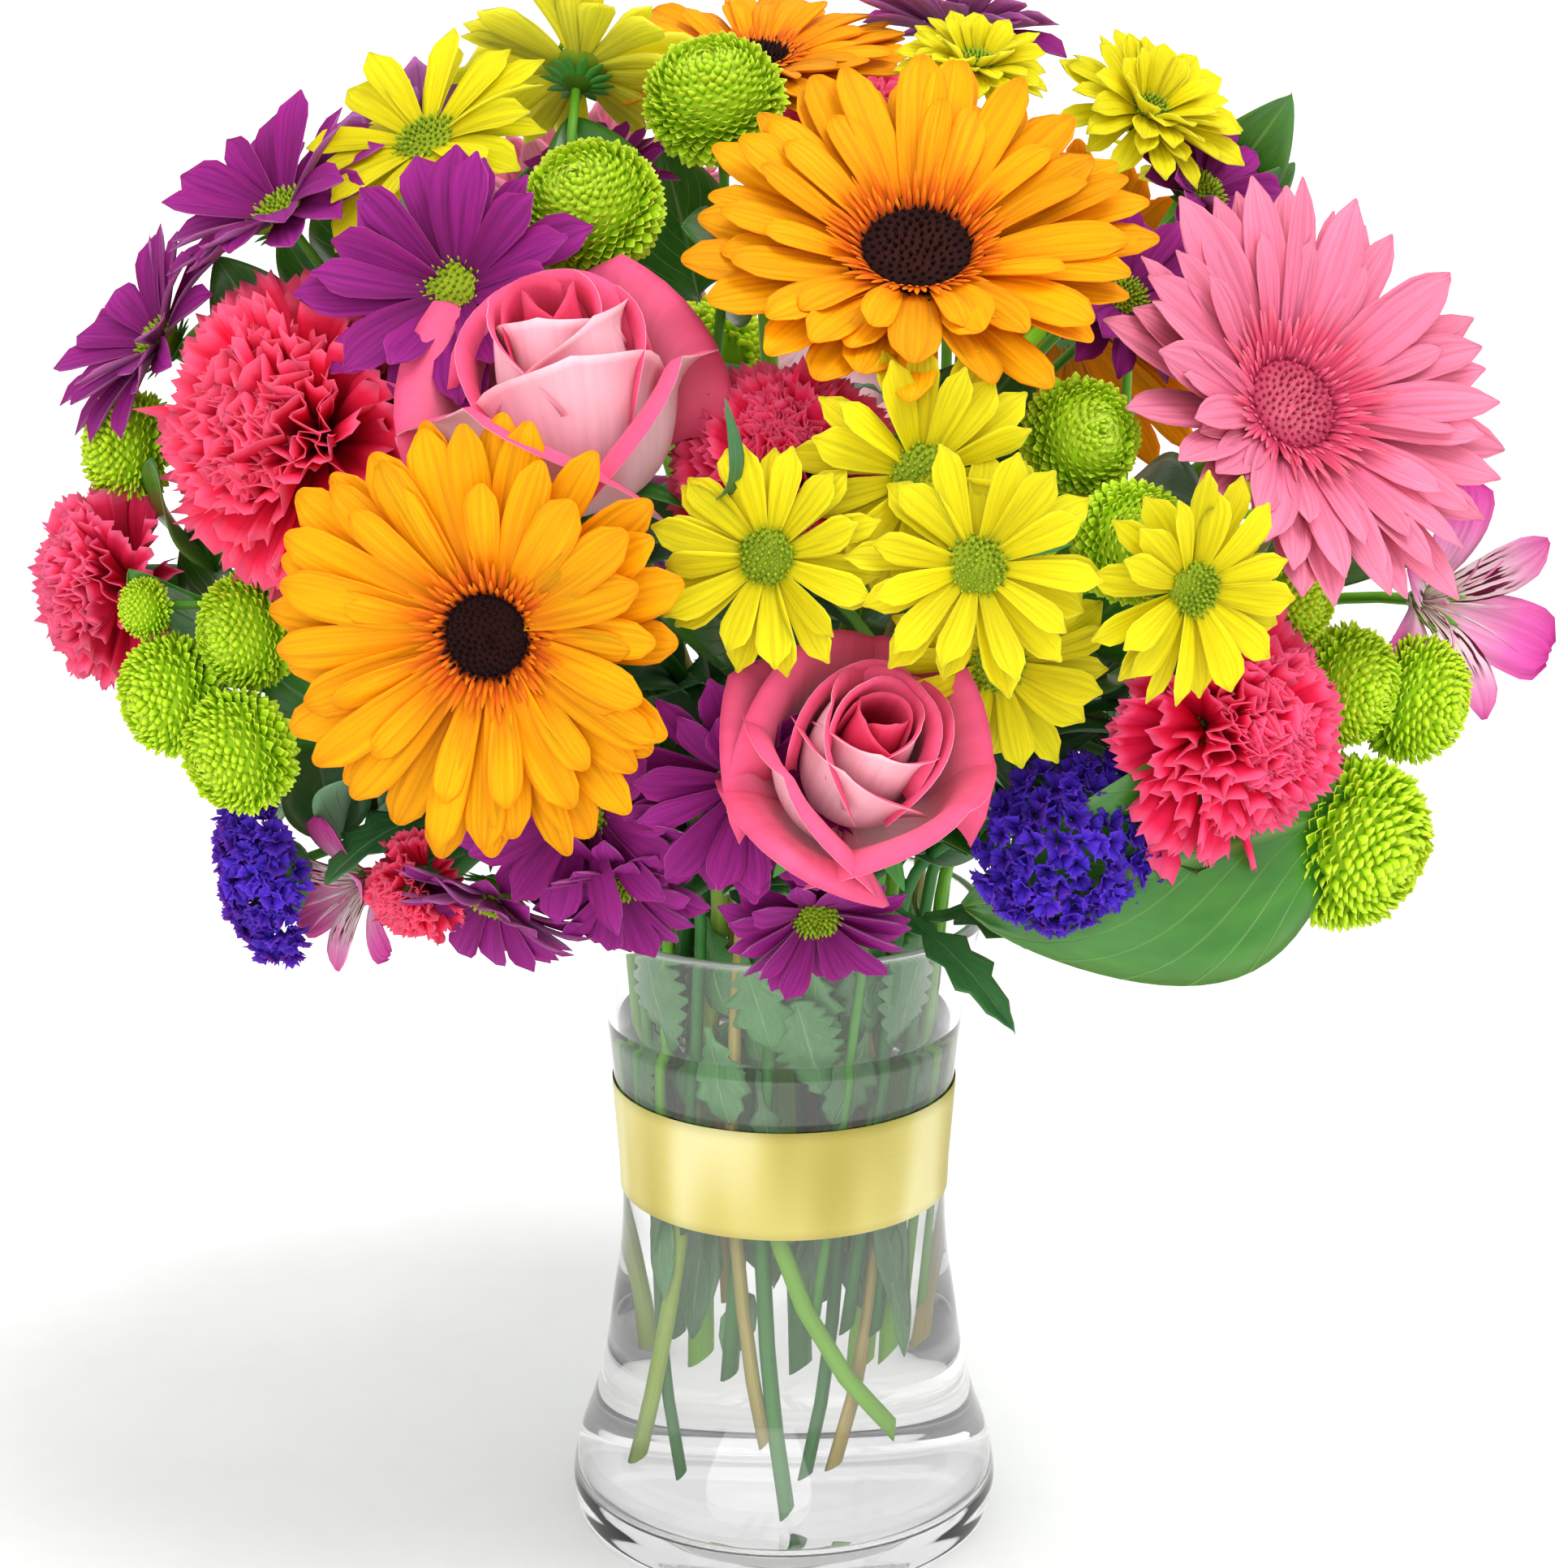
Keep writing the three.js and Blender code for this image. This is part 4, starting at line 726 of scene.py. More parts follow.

# %% [markdown]
# ## The petals' colours
#
# Each kind of flower gets its own ramp, from the foot of the petal to its tip. The colours were first taken from
# what such flowers are like and then matched in the rendered picture, since light and neighbours change them.

# %% Gerbera rays
# Gerbera ray: a grown petal skin, satin on the face. Its colour deepens towards the eye, which gives the bloom
# its glowing middle, and its back is a flatter orange.
# Its rim is mixed towards a deeper orange: painted shade of the creases where the rays overlap.
orange_ray = petal_finish("orange_gerbera_ray", [(0, "#e25400"), (0.2, "#f87c00"), (0.6, "#ffa200"), (1, "#ffb400")],
                          back="#f88c00", veins=0.3, tones=(0.8, 1.08), edge="#ff9800")
# The same skin in a more golden flower, for the two large blooms in front.
# Its rim too turns a deeper orange, painted shade of the creases between the rays.
gold_ray = petal_finish("golden_gerbera_ray", [(0, "#de5200"), (0.22, "#f67e00"), (0.6, "#ffa800"), (1, "#ffbc00")],
                        back="#fa9600", veins=0.3, tones=(0.8, 1.08), edge="#ff9e00")
# Pink gerbera ray: the same skin with a paler back, so turned petals look frosted.
pink_ray = petal_finish("pink_gerbera_ray", [(0, "#c43058"), (0.22, "#e05c84"), (0.6, "#ee7898"), (1, "#f086a4")],
                        back="#f6a0ba", veins=0.3)
print("gerbera finishes:", [finish.name for finish in (orange_ray, gold_ray, pink_ray)])

# %% Rose petals
# Rose petal: a velvety skin. Its outside is nearly white at the foot and its rim is deep coral, so a rolled
# rim draws a bright line round a pale bowl. A petal is some 50 mm wide, and its veins are about 1 mm apart;
# they are drawn 3 mm apart, because finer ones vanish in the render.
rose_skin = petal_finish("coral_rose_petal", [(0, "#f8e0d6"), (0.35, "#f8c8d2"), (0.7, "#f490aa"), (1, "#f0608a")],
                         back="#fddfe6", back_share=0.76, veins=0.1, vein_scale=9.0, edge="#f65a86",
                         tones=(0.95, 1.04))
# The petals of the heart are still folded up: their deep red all over is painted shade of the deep middle, which makes
# it look far in.
rose_heart_painted_shade = petal_finish("deep_rose_petal_painted_shade", [(0, "#b0143c"), (0.6, "#d22c54"), (1, "#e24c70")], veins=0.12,
                          tones=(0.85, 1.05))
print("rose finishes:", [finish.name for finish in (rose_skin, rose_heart_painted_shade)])

# %% Carnation frills
# Carnation frill: a dry, thin, crimped petal, lighter at its pinked edge, so each fold is outlined. A blade is
# about 20 mm wide, and a scale of 7 puts its streaks 1.4 mm apart.
pink_frill = petal_finish("pink_carnation_frill", [(0, "#c80830"), (0.5, "#ee1646"), (0.85, "#fa2e58"),
                                                   (1, "#ff6084")], veins=0.2, vein_scale=7.0, tones=(0.85, 1.12))
# A crimson carnation: the same skin with more red in it, which looks heavier beside the pink ones.
crimson_frill = petal_finish("crimson_carnation_frill", [(0, "#bc0c34"), (0.5, "#e81c4c"), (0.85, "#f63464"),
                                                         (1, "#fc6890")], veins=0.2, vein_scale=7.0)
# A hot pink one, fresh and bright down to its foot, for the blooms that sit in shade or look smooth. Its brightness is
# partly the flowers' own hot pink and partly painted light against the shade they sit in.
hot_frill_painted_light = petal_finish("hot_pink_carnation_frill_painted_light", [(0, "#e00840"), (0.5, "#fb1650"), (0.85, "#ff2e62"),
                                                      (1, "#ff608c")], veins=0.15, vein_scale=7.0)
print("carnation finishes:", [finish.name for finish in (pink_frill, crimson_frill, hot_frill_painted_light)])

# %% Chrysanthemum petals
# Yellow chrysanthemum ray: the thinnest petal here. Much light passes through it and comes out yellow, also in
# the shade, so it gets the most subsurface. A ray is 8 mm wide, and a scale of 5 puts its grooves 0.8 mm apart.
# Its back is painted brighter than its face: painted light for the glow of light that shines through the thin ray.
yellow_ray = petal_finish("yellow_daisy_ray", [(0, "#c4b400"), (0.3, "#e6d004"), (1, "#f2e218")], back="#faf03c",
                          back_share=0.9, veins=0.28, tones=(0.85, 1.08), subsurface_weight=0.5,
                          subsurface_scale=0.006, subsurface_radius=(1.0, 0.9, 0.25))
# Purple chrysanthemum ray: dark velvet in front and pale lilac behind, so a bent petal shows a light edge.
purple_ray = petal_finish("purple_daisy_ray", [(0, "#640a50"), (0.4, "#861870"), (1, "#9c2688")], back="#c084c0",
                          back_share=0.6, veins=0.35)
# Button chrysanthemum floret: a waxy little scoop, dark green at its foot and lime at its tip. The dark feet
# between the tips give the ball its dotted look.
lime_floret = petal_finish("lime_pom_floret", [(0, "#6ca60c"), (0.4, "#a6d816"), (0.8, "#c8ee28"), (1, "#e0f656")],
                           veins=0.15, tones=(0.82, 1.15))
print("chrysanthemum finishes:", [finish.name for finish in (yellow_ray, purple_ray, lime_floret)])

# %% Small flowers
# Alstroemeria petal: a silky skin, cream in the throat and lilac at the tip.
lilac_petal = petal_finish("lilac_alstroemeria_petal", [(0, "#f6e4c0"), (0.3, "#f0b4d4"), (0.7, "#dc64ac"),
                                                        (1, "#c03490")], back="#d878b4", veins=0.3)
# Statice calyx: papery and quite dry, so it is the roughest, and each one has faded a little differently.
violet_cup = petal_finish("violet_statice_calyx", [(0, "#280e6c"), (0.5, "#3c1ca8"), (1, "#5634cc")], veins=0.35,
                          tones=(0.7, 1.3), roughness=0.75)
# Disc florets of a pink gerbera: soft tufts in salmon, which ring its darker eye.
pink_floret = petal_finish("salmon_disc_floret", [(0, "#a81c40"), (0.6, "#e04c70"), (1, "#f0788c")], veins=0.1)
# Disc florets of an orange gerbera: amber tufts, a burnt ring between the dark eye and the bright rays.
amber_floret = petal_finish("amber_disc_floret", [(0, "#8c2008"), (0.5, "#dc5c08"), (1, "#f88c10")], veins=0.1)
print("small finishes:", [finish.name for finish in (lilac_petal, violet_cup, pink_floret, amber_floret)])

# %% [markdown]
# ## The skins of leaves and stems
#
# A leaf has a waxy skin over a mottled green, a paler midrib, and side veins that slant towards the tip. The
# veins could be drawn in a picture; here they are a row of slanted lines computed from `spot`, so they follow
# each leaf whatever its size. `rib_spread` is how many pairs there are: 7 on a salal leaf of 85 mm puts them
# 12 mm apart. Roughness 0.35 to 0.55 goes from wax to soft hair, and a coat gives the wax its second highlight.

# %% A leaf's finish
def leaf_finish(name, dark, light, back, gloss, rib_spread=7.0):
    """dark and light: its mottled greens. back: the underside and the veins. gloss: its roughness."""
    finish, tree, main = new_finish(name, roughness=gloss, subsurface_weight=0.12, subsurface_scale=0.003,
                                    coat_weight=0.25, coat_roughness=0.25)
    spot, parts = read_spot(tree)
    side = reckon(tree, "ABSOLUTE", parts["X"])
    rows = reckon(tree, "MULTIPLY", reckon(tree, "MULTIPLY_ADD", side, -0.55, parts["Y"]), rib_spread)
    vein = remap(tree, reckon(tree, "PINGPONG", rows, 0.5), 0.05, 0.0, (0.0, 0.55))
    lines = reckon(tree, "MAXIMUM", vein, remap(tree, side, 0.07, 0.0, (0.0, 0.8)))
    mottle = noise(tree, spot, 4.0, 6.0)
    tone = remap(tree, parts["Z"], 0.0, 1.0, (0.7, 1.25))
    base = mix(tree, mottle, linear(dark), linear(light))
    green = add(tree, "ShaderNodeHueSaturation", {"Value": tone, "Color": base}).outputs["Color"]
    green = mix(tree, read_back(tree), green, linear(back))
    tree.links.new(mix(tree, lines, green, linear(back)), main.inputs["Base Color"])
    emboss(tree, main, lines, 0.5, 0.0008, invert=True)
    return finish


print("side veins of a leaf of 85 mm:", round(85 / 7.0, 1), "mm apart")

# %% [markdown]
# Stems are round and finely ridged. The ridges of a chrysanthemum are about 0.7 mm apart: its girth is 12 mm,
# `spot` counts it as 2 units, so the noise is scaled by 9. One material serves all stems, and the tone of each
# stem chooses its green, because a bunch has bright, dark and woody ones side by side.

# %% A stem's finish
def stem_finish(name, stops):
    """stops: what tone, from 0 to 1, a whole stem has. Fine ridges run along it."""
    finish, tree, main = new_finish(name, roughness=0.5, subsurface_weight=0.1, subsurface_scale=0.002)
    spot, parts = read_spot(tree)
    grain = noise(tree, stretch(tree, spot, (9.0, 3.0, 30.0)), 3.0)
    shade = remap(tree, grain, 0.3, 0.7, (0.8, 1.15))
    green = add(tree, "ShaderNodeHueSaturation", {"Value": shade, "Color": ramp(tree, parts["Z"], stops)})
    tree.links.new(green.outputs["Color"], main.inputs["Base Color"])
    emboss(tree, main, grain, 0.3, 0.0005)
    return finish


print("ridges of a stem with a girth of 12 mm:", round(12 / 2 / 9.0, 2), "mm apart")

# %% Leaf and stem greens
# Salal leaf: leathery, with a natural wax polish, so it mirrors the lamp in one soft patch.
waxy_leaf = leaf_finish("waxy_salal_leaf", "#1a6014", "#428a22", "#6a9c44", 0.36)
# Chrysanthemum leaf: thin, with a felt of short hairs that spreads every highlight.
mum_leaf = leaf_finish("soft_chrysanthemum_leaf", "#1e5a2a", "#3a7a3c", "#6c9a72", 0.55, rib_spread=5.0)
# The same leaf wet behind glass: water fills the felt, so it is smoother. Its greens are lighter, painted light for
# leaves that stand dim behind the glass.
wet_leaf_painted_light = leaf_finish("wet_chrysanthemum_leaf_painted_light", "#2c6c34", "#5c9c50", "#84b478", 0.35, rib_spread=6.0)
# Stems: fresh skin from dark green through bright green to tan bark; the tone of each stem picks one.
stem_skin = stem_finish("fresh_green_stem", [(0, "#1c6428"), (0.35, "#40902a"), (0.65, "#80c418"), (0.85, "#a0aa48"),
                                             (1, "#bc9a5c")])
print("greens:", [finish.name for finish in (waxy_leaf, mum_leaf, wet_leaf_painted_light, stem_skin)])

# %% Eyes and discs
# Eye of an orange gerbera: closed buds like a brush, brown-black and dull, which makes it the darkest spot.
eye_brown = petal_finish("brown_gerbera_eye", [(0, "#0c0406"), (0.6, "#1e0a0e"), (1, "#381812")], veins=0.2,
                         tones=(0.6, 1.4), roughness=0.85, subsurface_weight=0.0)
# Eye of a pink gerbera: the same brush in wine red with rosy tips.
eye_wine = petal_finish("wine_gerbera_eye", [(0, "#7c1838"), (0.6, "#b43054"), (1, "#e06880")], veins=0.2,
                        tones=(0.7, 1.2), roughness=0.8)
# Disc of a daisy chrysanthemum: green buds whose tips turn yellow as they open.
disc_green = petal_finish("green_daisy_disc", [(0, "#446a10"), (0.4, "#648e18"), (1, "#a6ba28")], veins=0.1,
                          tones=(0.75, 1.2))
print("eyes and discs:", [finish.name for finish in (eye_brown, eye_wine, disc_green)])

# %% [markdown]
# ## Stems, and where leaves grow from them
#
# A bloom's stem goes into one piece with the green parts behind it. It could be drawn and forgotten, but leaves
# grow on stems, so each path is kept in a list together with the kind of plant, and the leaves further down in
# this lesson start on it. A spray has one shared stem up to a fork and then a branch to each head.

# %% Growing a stem
PATHS = []                    # (path, kind of plant)


def grow_stem(pile, name, slot, end, out, radius, kind, tone):
    """A stem as a rod in the pile; its path is kept for the leaves."""
    path = stem_path(name, slot, end, out)
    rod(pile, path, radius, tone=tone, cut=1.0)
    PATHS.append((path, kind))


print("stems so far:", len(PATHS))

# %% Forking a spray
def spray_paths(name, slot, backs, outs):
    """A shared stem up to a fork, and a branch from there to each head."""
    rim = slot_point(slot, RIM_RINGS, RIM_HEIGHT, 0)
    middle = np.mean(backs, axis=0)
    fork = (rim + middle) / 2 + np.array([0, 0, 6.0])
    lift = (middle - rim) / np.linalg.norm(middle - rim)
    trunk = stem_path(name, slot, fork, lift)
    branches = []
    for back, out in zip(backs, outs):
        reach = np.linalg.norm(back - fork)
        branches.append(cubic_curve(fork - lift * 2, fork + lift * reach * 0.3, back - out * reach * 0.4, back, 8))
    return trunk, branches


trunk, branches = spray_paths("", (3, 120), [np.array([150.0, y, 300]) for y in (20, 80)], [facing(110, 0)] * 2)
print("a spray of two heads: a trunk of", len(trunk), "points and", len(branches), "branches")

# %% [markdown]
# ## Gerberas
#
# A gerbera's head is flat and open: two full rows of long rays and a shorter third one, then a ring of narrow
# florets, then the eye, a dome of tight buds. Under it sits a green cup of bracts on a smooth, leafless stem.
# An array of one petal round the axis would look stamped, because real rays differ in length, twist and droop.
# So each row draws those from the random stream, and only the outline is shared.

# %% Outlines of petals
# (share of the length, share of the width)
STRAP = [(0, 0.3), (0.12, 0.42), (0.35, 0.72), (0.6, 0.95), (0.8, 1), (0.9, 0.9), (0.96, 0.68), (1, 0.34)]
POINTED = [(0, 0.3), (0.15, 0.48), (0.4, 0.82), (0.65, 1), (0.82, 0.88), (0.93, 0.55), (1, 0.14)]
NEEDLE = [(0, 0.7), (0.6, 1), (0.85, 0.7), (1, 0.15)]


def ring_turns(count, jitter, offset=0.0):
    """Angles round a ring, each moved by up to jitter of the spacing."""
    return (np.arange(count) + offset + rng.uniform(-jitter, jitter, count)) * 360 / count


print("outlines:", len(STRAP), len(POINTED), len(NEEDLE), "points")

# %% A gerbera's rays, eye and cup
def gerbera_rays(pile, place, radius, cup, lean, seat, pink):
    """Two full rows of rays and a shorter third one, each row a little steeper."""
    # count, reach in radii, width, offset in the ring, height
    rows = [(24, 1.0, 11.8, 0, -1.4), (22, 0.93, 11.2, 0.5, 0), (13, 0.76, 8.5, 0.2, 1.0)]
    if pink:
        rows = [(24, 1.0, 11.4, 0, -1.4), (22, 0.92, 10.6, 0.5, 0), (15, 0.74, 7, 0.2, 1.2)]
    for row, (count, share, width, offset, height) in enumerate(rows):
        third = row == 2
        turn = ring_turns(count, 0.32, offset)
        tipped = np.cos(np.radians(turn)) * lean
        length = radius * share - (radius * 0.2 if third else 4)
        length = length * rng.uniform(0.9, 1.04, count) * (1 - tipped * 0.004)
        petals(pile, place, turn, length, width * radius / 56 * rng.uniform(0.84, 1.1, count),
               POINTED if pink else STRAP, start=radius * 0.2 if third else 4.5,
               height=seat * 0.9 if third else height, rise=cup + 6 * row + tipped + rng.normal(0, 3, count),
               droop=cup - 15 + 4 * row + 1.5 * tipped + rng.normal(0, 7, count), cup=rng.uniform(0, 0.3, count),
               groove=0.5, roll=rng.normal(0, 11, count), sway=rng.normal(0, 0.04, count), round_end=0.02,
               steps=(13, 9), thick=0.7)


def gerbera_eye(pile, place, radius, cup, dome, seat, pink):
    """Two rings of narrow florets (part 1), and a cushion with bristles (part 0)."""
    short, reach = (110, 0.34) if pink else (64, 0.26)
    petals(pile, place, ring_turns(short, 0.4), radius * rng.uniform(0.16, reach, short), 1.6, NEEDLE,
           start=dome * 0.8, height=seat + 0.8, rise=cup + 16, droop=cup + 8 + rng.normal(0, 9, short), steps=(5, 3),
           thick=0.5, part=1)
    petals(pile, place, ring_turns(44, 0.3), radius * rng.uniform(0.07, 0.12, 44), 1.3, NEEDLE,
           start=dome * 0.86, height=seat + 1.2, rise=cup + 30, droop=cup + 16, steps=(4, 3), thick=0.5, part=1)
    lathe(pile, [(0, -1), (dome * 0.6, -1), (dome, seat + 1), (dome * 0.85, seat + 2.6), (dome * 0.4, seat + 2.2),
                 (0, seat + 1.8)], 20, place)
    seeds(pile, place, 150, dome * 1.02, 0.6, 0.62, 1.9, height=seat + 2.2)
    seeds(pile, place, 60, dome * 1.2, 0.2, 0.5, 2.4, height=seat + 1.6, inner=dome * 0.95)


def gerbera_cup(pile, place):
    """The green cup behind the rays, with its bracts."""
    lathe(pile, [(0, -17), (2.8, -16.5), (4.2, -13), (7.2, -9), (8.8, -4.5), (7, -1.8), (0, -1.6)], 18, place,
          tone=0.35)
    petals(pile, place, ring_turns(22, 0.2), 11, 3, LANCE, start=4.5, height=-12.5, rise=62, droop=12,
           steps=(6, 3), thick=0.5, tone=0.3)


print("rays of an orange gerbera:", 24 + 22 + 13)

# %% Growing the gerberas
def gerbera(bloom):
    """One gerbera in three pieces: its rays, its disc and its stalk with the cup."""
    name, radius, cup, pink = bloom["name"], bloom["radius"], bloom["cup"], "pink" in bloom["name"]
    place = stand(bloom["at"], bloom["turn"], bloom["tilt"])
    rays, eye_part, green = Pile(), Pile(), Pile()
    dome = radius * bloom.get("eye", 0.21)
    seat = (dome - 4.5) * math.tan(math.radians(cup + 5))        # the eye sits on the sloping rays
    gerbera_rays(rays, place, radius, cup, bloom.get("lean", 0), seat, pink)
    gerbera_eye(eye_part, place, radius, cup, dome, seat, pink)
    gerbera_cup(green, place)
    out = place[0][:, 2]
    path = stem_path(name, bloom["slot"], place[1] - out * 15, out)
    rod(green, path, 2.5, 10, tone=bloom.get("tone", 0.66), cut=1.2)
    PATHS.append((path, "gerbera"))
    stem_node = [f"{name}_stem"]
    eye_node = stem_node if bloom.get("whole") else [f"{name}_eye"]
    eye_finishes = [eye_wine, pink_floret] if pink else [eye_brown, amber_floret]
    colour = pink_ray if pink else (gold_ray if cup > 12 else orange_ray)    # the two in front are more golden
    make_piece(f"{name}_rays", rays, [colour], [f"{name}_petals"])
    make_piece(f"{name}_disc", eye_part, eye_finishes, eye_node)
    make_piece(f"{name}_stalk", green, [stem_skin], stem_node)


for bloom in GERBERAS:
    gerbera(bloom)

# %% [markdown]
# ## Roses
#
# A half-open rose is a tight spiral bud inside a bowl of broader petals, whose rims roll back at the sides and
# leave a point in the middle. Flat strips like the gerbera's can't do that, and sculpting would fix one rose for
# ever. So a rose petal is a strip that wraps round the axis: it climbs from its foot by a list of angles, and near
# its rim it turns over, earlier at its sides than in the middle. The same function makes the bud, the bowl and the
# outer petals with four such lists. Only the rolled rim shows the deep coral.

# %% How rose petals climb
BUD = [(0, 60), (0.3, 82), (0.7, 96), (1.1, 98)]
BOWL = [(0, 12), (0.2, 48), (0.45, 80), (0.7, 90), (1.1, 88)]
CUP = [(0, -12), (0.2, 32), (0.45, 72), (0.7, 84), (1.1, 74)]
LOOSE = [(0, -20), (0.2, 14), (0.45, 50), (0.7, 66), (1.1, 48)]
print("the bud closes to", BUD[-1][1], "degrees and the loose petals open to", LOOSE[-1][1])

# %% A rose petal
def rose_petal(pile, place, turn, wrap, length, climb, foot, curl, flare=0.0, spiral=0.0, point=0.1, lean=0.0,
               part=0, rolling=0.1):
    """wrap: half its width, in degrees round the axis; foot: radius and height where it starts.
    rolling: the share of its length that turns over at the rim."""
    v, u = np.meshgrid(np.linspace(0, 1, 17), np.linspace(-1, 1, 17), indexing="ij")
    outline = 1 - 0.12 * u ** 2 - 0.2 * np.abs(u) ** 5 + point * (1 - np.abs(u)) ** 2
    share = v * outline
    roll = rolling + 0.2 * np.abs(u)
    rolled = np.clip((share - outline + roll) / roll, 0, 1) ** 1.3 * (0.4 + 0.6 * np.abs(u) ** 0.7)
    angle = np.radians(np.interp(share, *np.array(climb, float).T) - curl * rolled - lean * share)
    middle = (angle[1:] + angle[:-1]) / 2
    step = length * outline[:1] / 16
    start = np.zeros((1, 17))
    radius = foot[0] + np.concatenate([start, np.cumsum(np.cos(middle) * step, axis=0)])
    height = foot[1] + np.concatenate([start, np.cumsum(np.sin(middle) * step, axis=0)])
    phase = rng.uniform(0, 6)
    radius = radius + flare * np.abs(u) ** 3 * v ** 2 + spiral * u + 0.3 * np.sin(4 * u + phase) * v ** 3
    height = height + 0.7 * np.sin(3 * u + phase) * v ** 3
    around = np.radians(turn + u * wrap * (0.6 + 0.4 * v) + 4 * np.sin(phase) * v ** 2)
    grid = np.stack([radius * np.cos(around), radius * np.sin(around), height], axis=2)[None]
    shells(pile, grid @ place[0].T + place[1], 0.7, [rng.uniform(0, 1)], part)


print("a rose petal is a grid of", 17 * 17, "points")

# %% Growing the roses
def rose(bloom):
    """swing turns the rose about its axis; order says which way round the bowl's petals overlap."""
    name, size, swing = bloom["name"], bloom["radius"] * 1.04, bloom.get("swing", 200)
    curl, rolling = bloom.get("curl", 130), bloom.get("rolling", 0.1)
    place = stand(bloom["at"], bloom["turn"], bloom["tilt"])
    skin, green = Pile(), Pile()
    foot = -size * 0.95
    # The three innermost petals take the second finish, whose deep red is painted shade of the deep middle.
    for k in range(8):
        rose_petal(skin, place, swing + k * 137, 118 - 4 * k, size * (1.3 - 0.02 * k), BUD,
                   (size * (0.03 + 0.042 * k), foot * 0.86), 14 + 11 * k, spiral=size * 0.04, point=0.03,
                   part=1 if k < 3 else 0)
    for k in range(3):
        rose_petal(skin, place, swing + 70 + k * 115, 82, size * (1.3 - 0.02 * k), BOWL,
                   (size * 0.12, foot + 1), 45 + 10 * k, flare=0.3, spiral=0.5, point=0.06)
    for k in range(4):
        rose_petal(skin, place, swing + 20 + k * 88 * bloom.get("order", 1), 68, size * (1.33 - 0.02 * k), CUP,
                   (size * 0.2, foot), curl, flare=2.2, point=0.14, rolling=rolling)
    for turn, lean in bloom.get("guards", ((80, 0), (205, 8), (320, 4))):
        rose_petal(skin, place, turn, 56, size * 1.22, LOOSE, (size * 0.12, foot - 0.5), curl - 10, flare=3.0,
                   point=0.2, lean=lean, rolling=rolling)
    hip = size * 0.95
    lathe(green, [(0, -hip - 9), (2.5, -hip - 8.5), (4.6, -hip - 5), (5, -hip - 2), (3.6, -hip + 1), (0, -hip + 1.5)],
          16, place, tone=0.3)
    petals(green, place, ring_turns(5, 0.1), 26, 7, LANCE, start=3, height=-hip - 1.5, rise=10, droop=-35, bend=1.2,
           cup=0.25, steps=(9, 5), thick=0.6, tone=0.25)
    out = place[0][:, 2]
    grow_stem(green, name, bloom["slot"], place[1] - out * (hip + 8), out, 2.1, "rose", 0.25)
    nodes = [name] if bloom.get("whole") else None
    make_piece(f"{name}_petals", skin, [rose_skin, rose_heart_painted_shade], nodes or [f"{name}_bloom"])
    make_piece(f"{name}_stalk", green, [stem_skin], nodes or [f"{name}_stem"])


for bloom in ROSES:
    rose(bloom)

# %% [markdown]
# ## Carnations
#
# A carnation is a ball of crinkled frills. Each petal is a fan: a narrow claw, then a broad, ruffled blade with a
# pinked edge, as if cut by zigzag scissors. Cloth simulation would crumple the blades well but slowly. A sine
# wave that grows towards the edge gives the same ruffle at once, and small teeth are pulled back at the rim. Tiers
# of fans stand ever more upright towards the middle, all held by a long green calyx.

# %% Growing the carnations
FAN = [(0, 0.14), (0.3, 0.3), (0.55, 0.62), (0.8, 0.92), (1, 1)]


def carnation(bloom):
    """frill: its size against the table's radius. guards: smooth outer petals, by their turn."""
    name, size = bloom["name"], bloom["radius"] * bloom.get("frill", 1.06)
    place = stand(bloom["at"], bloom["turn"], bloom["tilt"])
    frills, green = Pile(), Pile()
    back = -size * 0.62
    # count, length and width in radii, rise and droop in degrees, ruffle in radii
    tiers = [(10, 1.0, 0.72, 22, -8, 0.1), (9, 0.98, 0.8, 40, 12, 0.09), (10, 0.92, 0.76, 56, 34, 0.11),
             (11, 0.85, 0.7, 68, 54, 0.12), (10, 0.78, 0.66, 78, 74, 0.13), (9, 0.72, 0.55, 86, 92, 0.13)]
    for row, (count, length, width, rise, droop, ruffle) in enumerate(tiers):
        petals(frills, place, ring_turns(count, 0.35, 0.37 * row), size * length * rng.uniform(0.88, 1.06, count),
               size * width * rng.uniform(0.85, 1.15, count), FAN, start=size * 0.04, height=back + 1.2 * row,
               rise=rise + rng.normal(0, 6, count), droop=droop + rng.normal(0, 14, count), bend=1.2,
               roll=rng.normal(0, 22, count), ruffle=size * ruffle * rng.uniform(0.6, 1.3, count), waves=4.2,
               teeth=0.06, round_end=0.16, cup=rng.normal(0, 0.25, count), steps=(8, 23), thick=0.5)
    for turn in bloom.get("guards", ()):
        petals(frills, place, turn, size * 1.12, size * 1.05, FAN, start=size * 0.04, height=back - 0.5, rise=20,
               droop=-4, bend=1.2, ruffle=size * 0.03, waves=2.5, teeth=0.02, round_end=0.2, steps=(8, 23), thick=0.5)
    lathe(green, [(0, back - 26), (2.6, back - 25), (4.4, back - 18), (5.2, back - 8), (5, back + 1), (4, back + 3),
                  (0, back + 3)], 16, place, tone=0.3)
    petals(green, place, ring_turns(5, 0.05), 6, 6, LANCE, start=4.2, height=back - 1, rise=75, droop=60,
           steps=(5, 3), thick=0.5, tone=0.35)
    out = place[0][:, 2]
    grow_stem(green, name, bloom["slot"], place[1] + out * (back - 22), out, 1.7, "carnation", 0.15)
    nodes = [name] if bloom.get("whole") else None
    colour, slot = (crimson_frill, "crimson_petal") if bloom.get("crimson") else (pink_frill, "carnation_petal")
    # A bloom marked light gets the hot pink frill, whose extra brightness is partly painted light.
    if bloom.get("light"):
        colour = hot_frill_painted_light
    make_piece(f"{name}_frills", frills, [colour], nodes or [f"{name}_bloom"])
    make_piece(f"{name}_stalk", green, [stem_skin], nodes or [f"{name}_stem"])


for bloom in CARNATIONS:
    carnation(bloom)

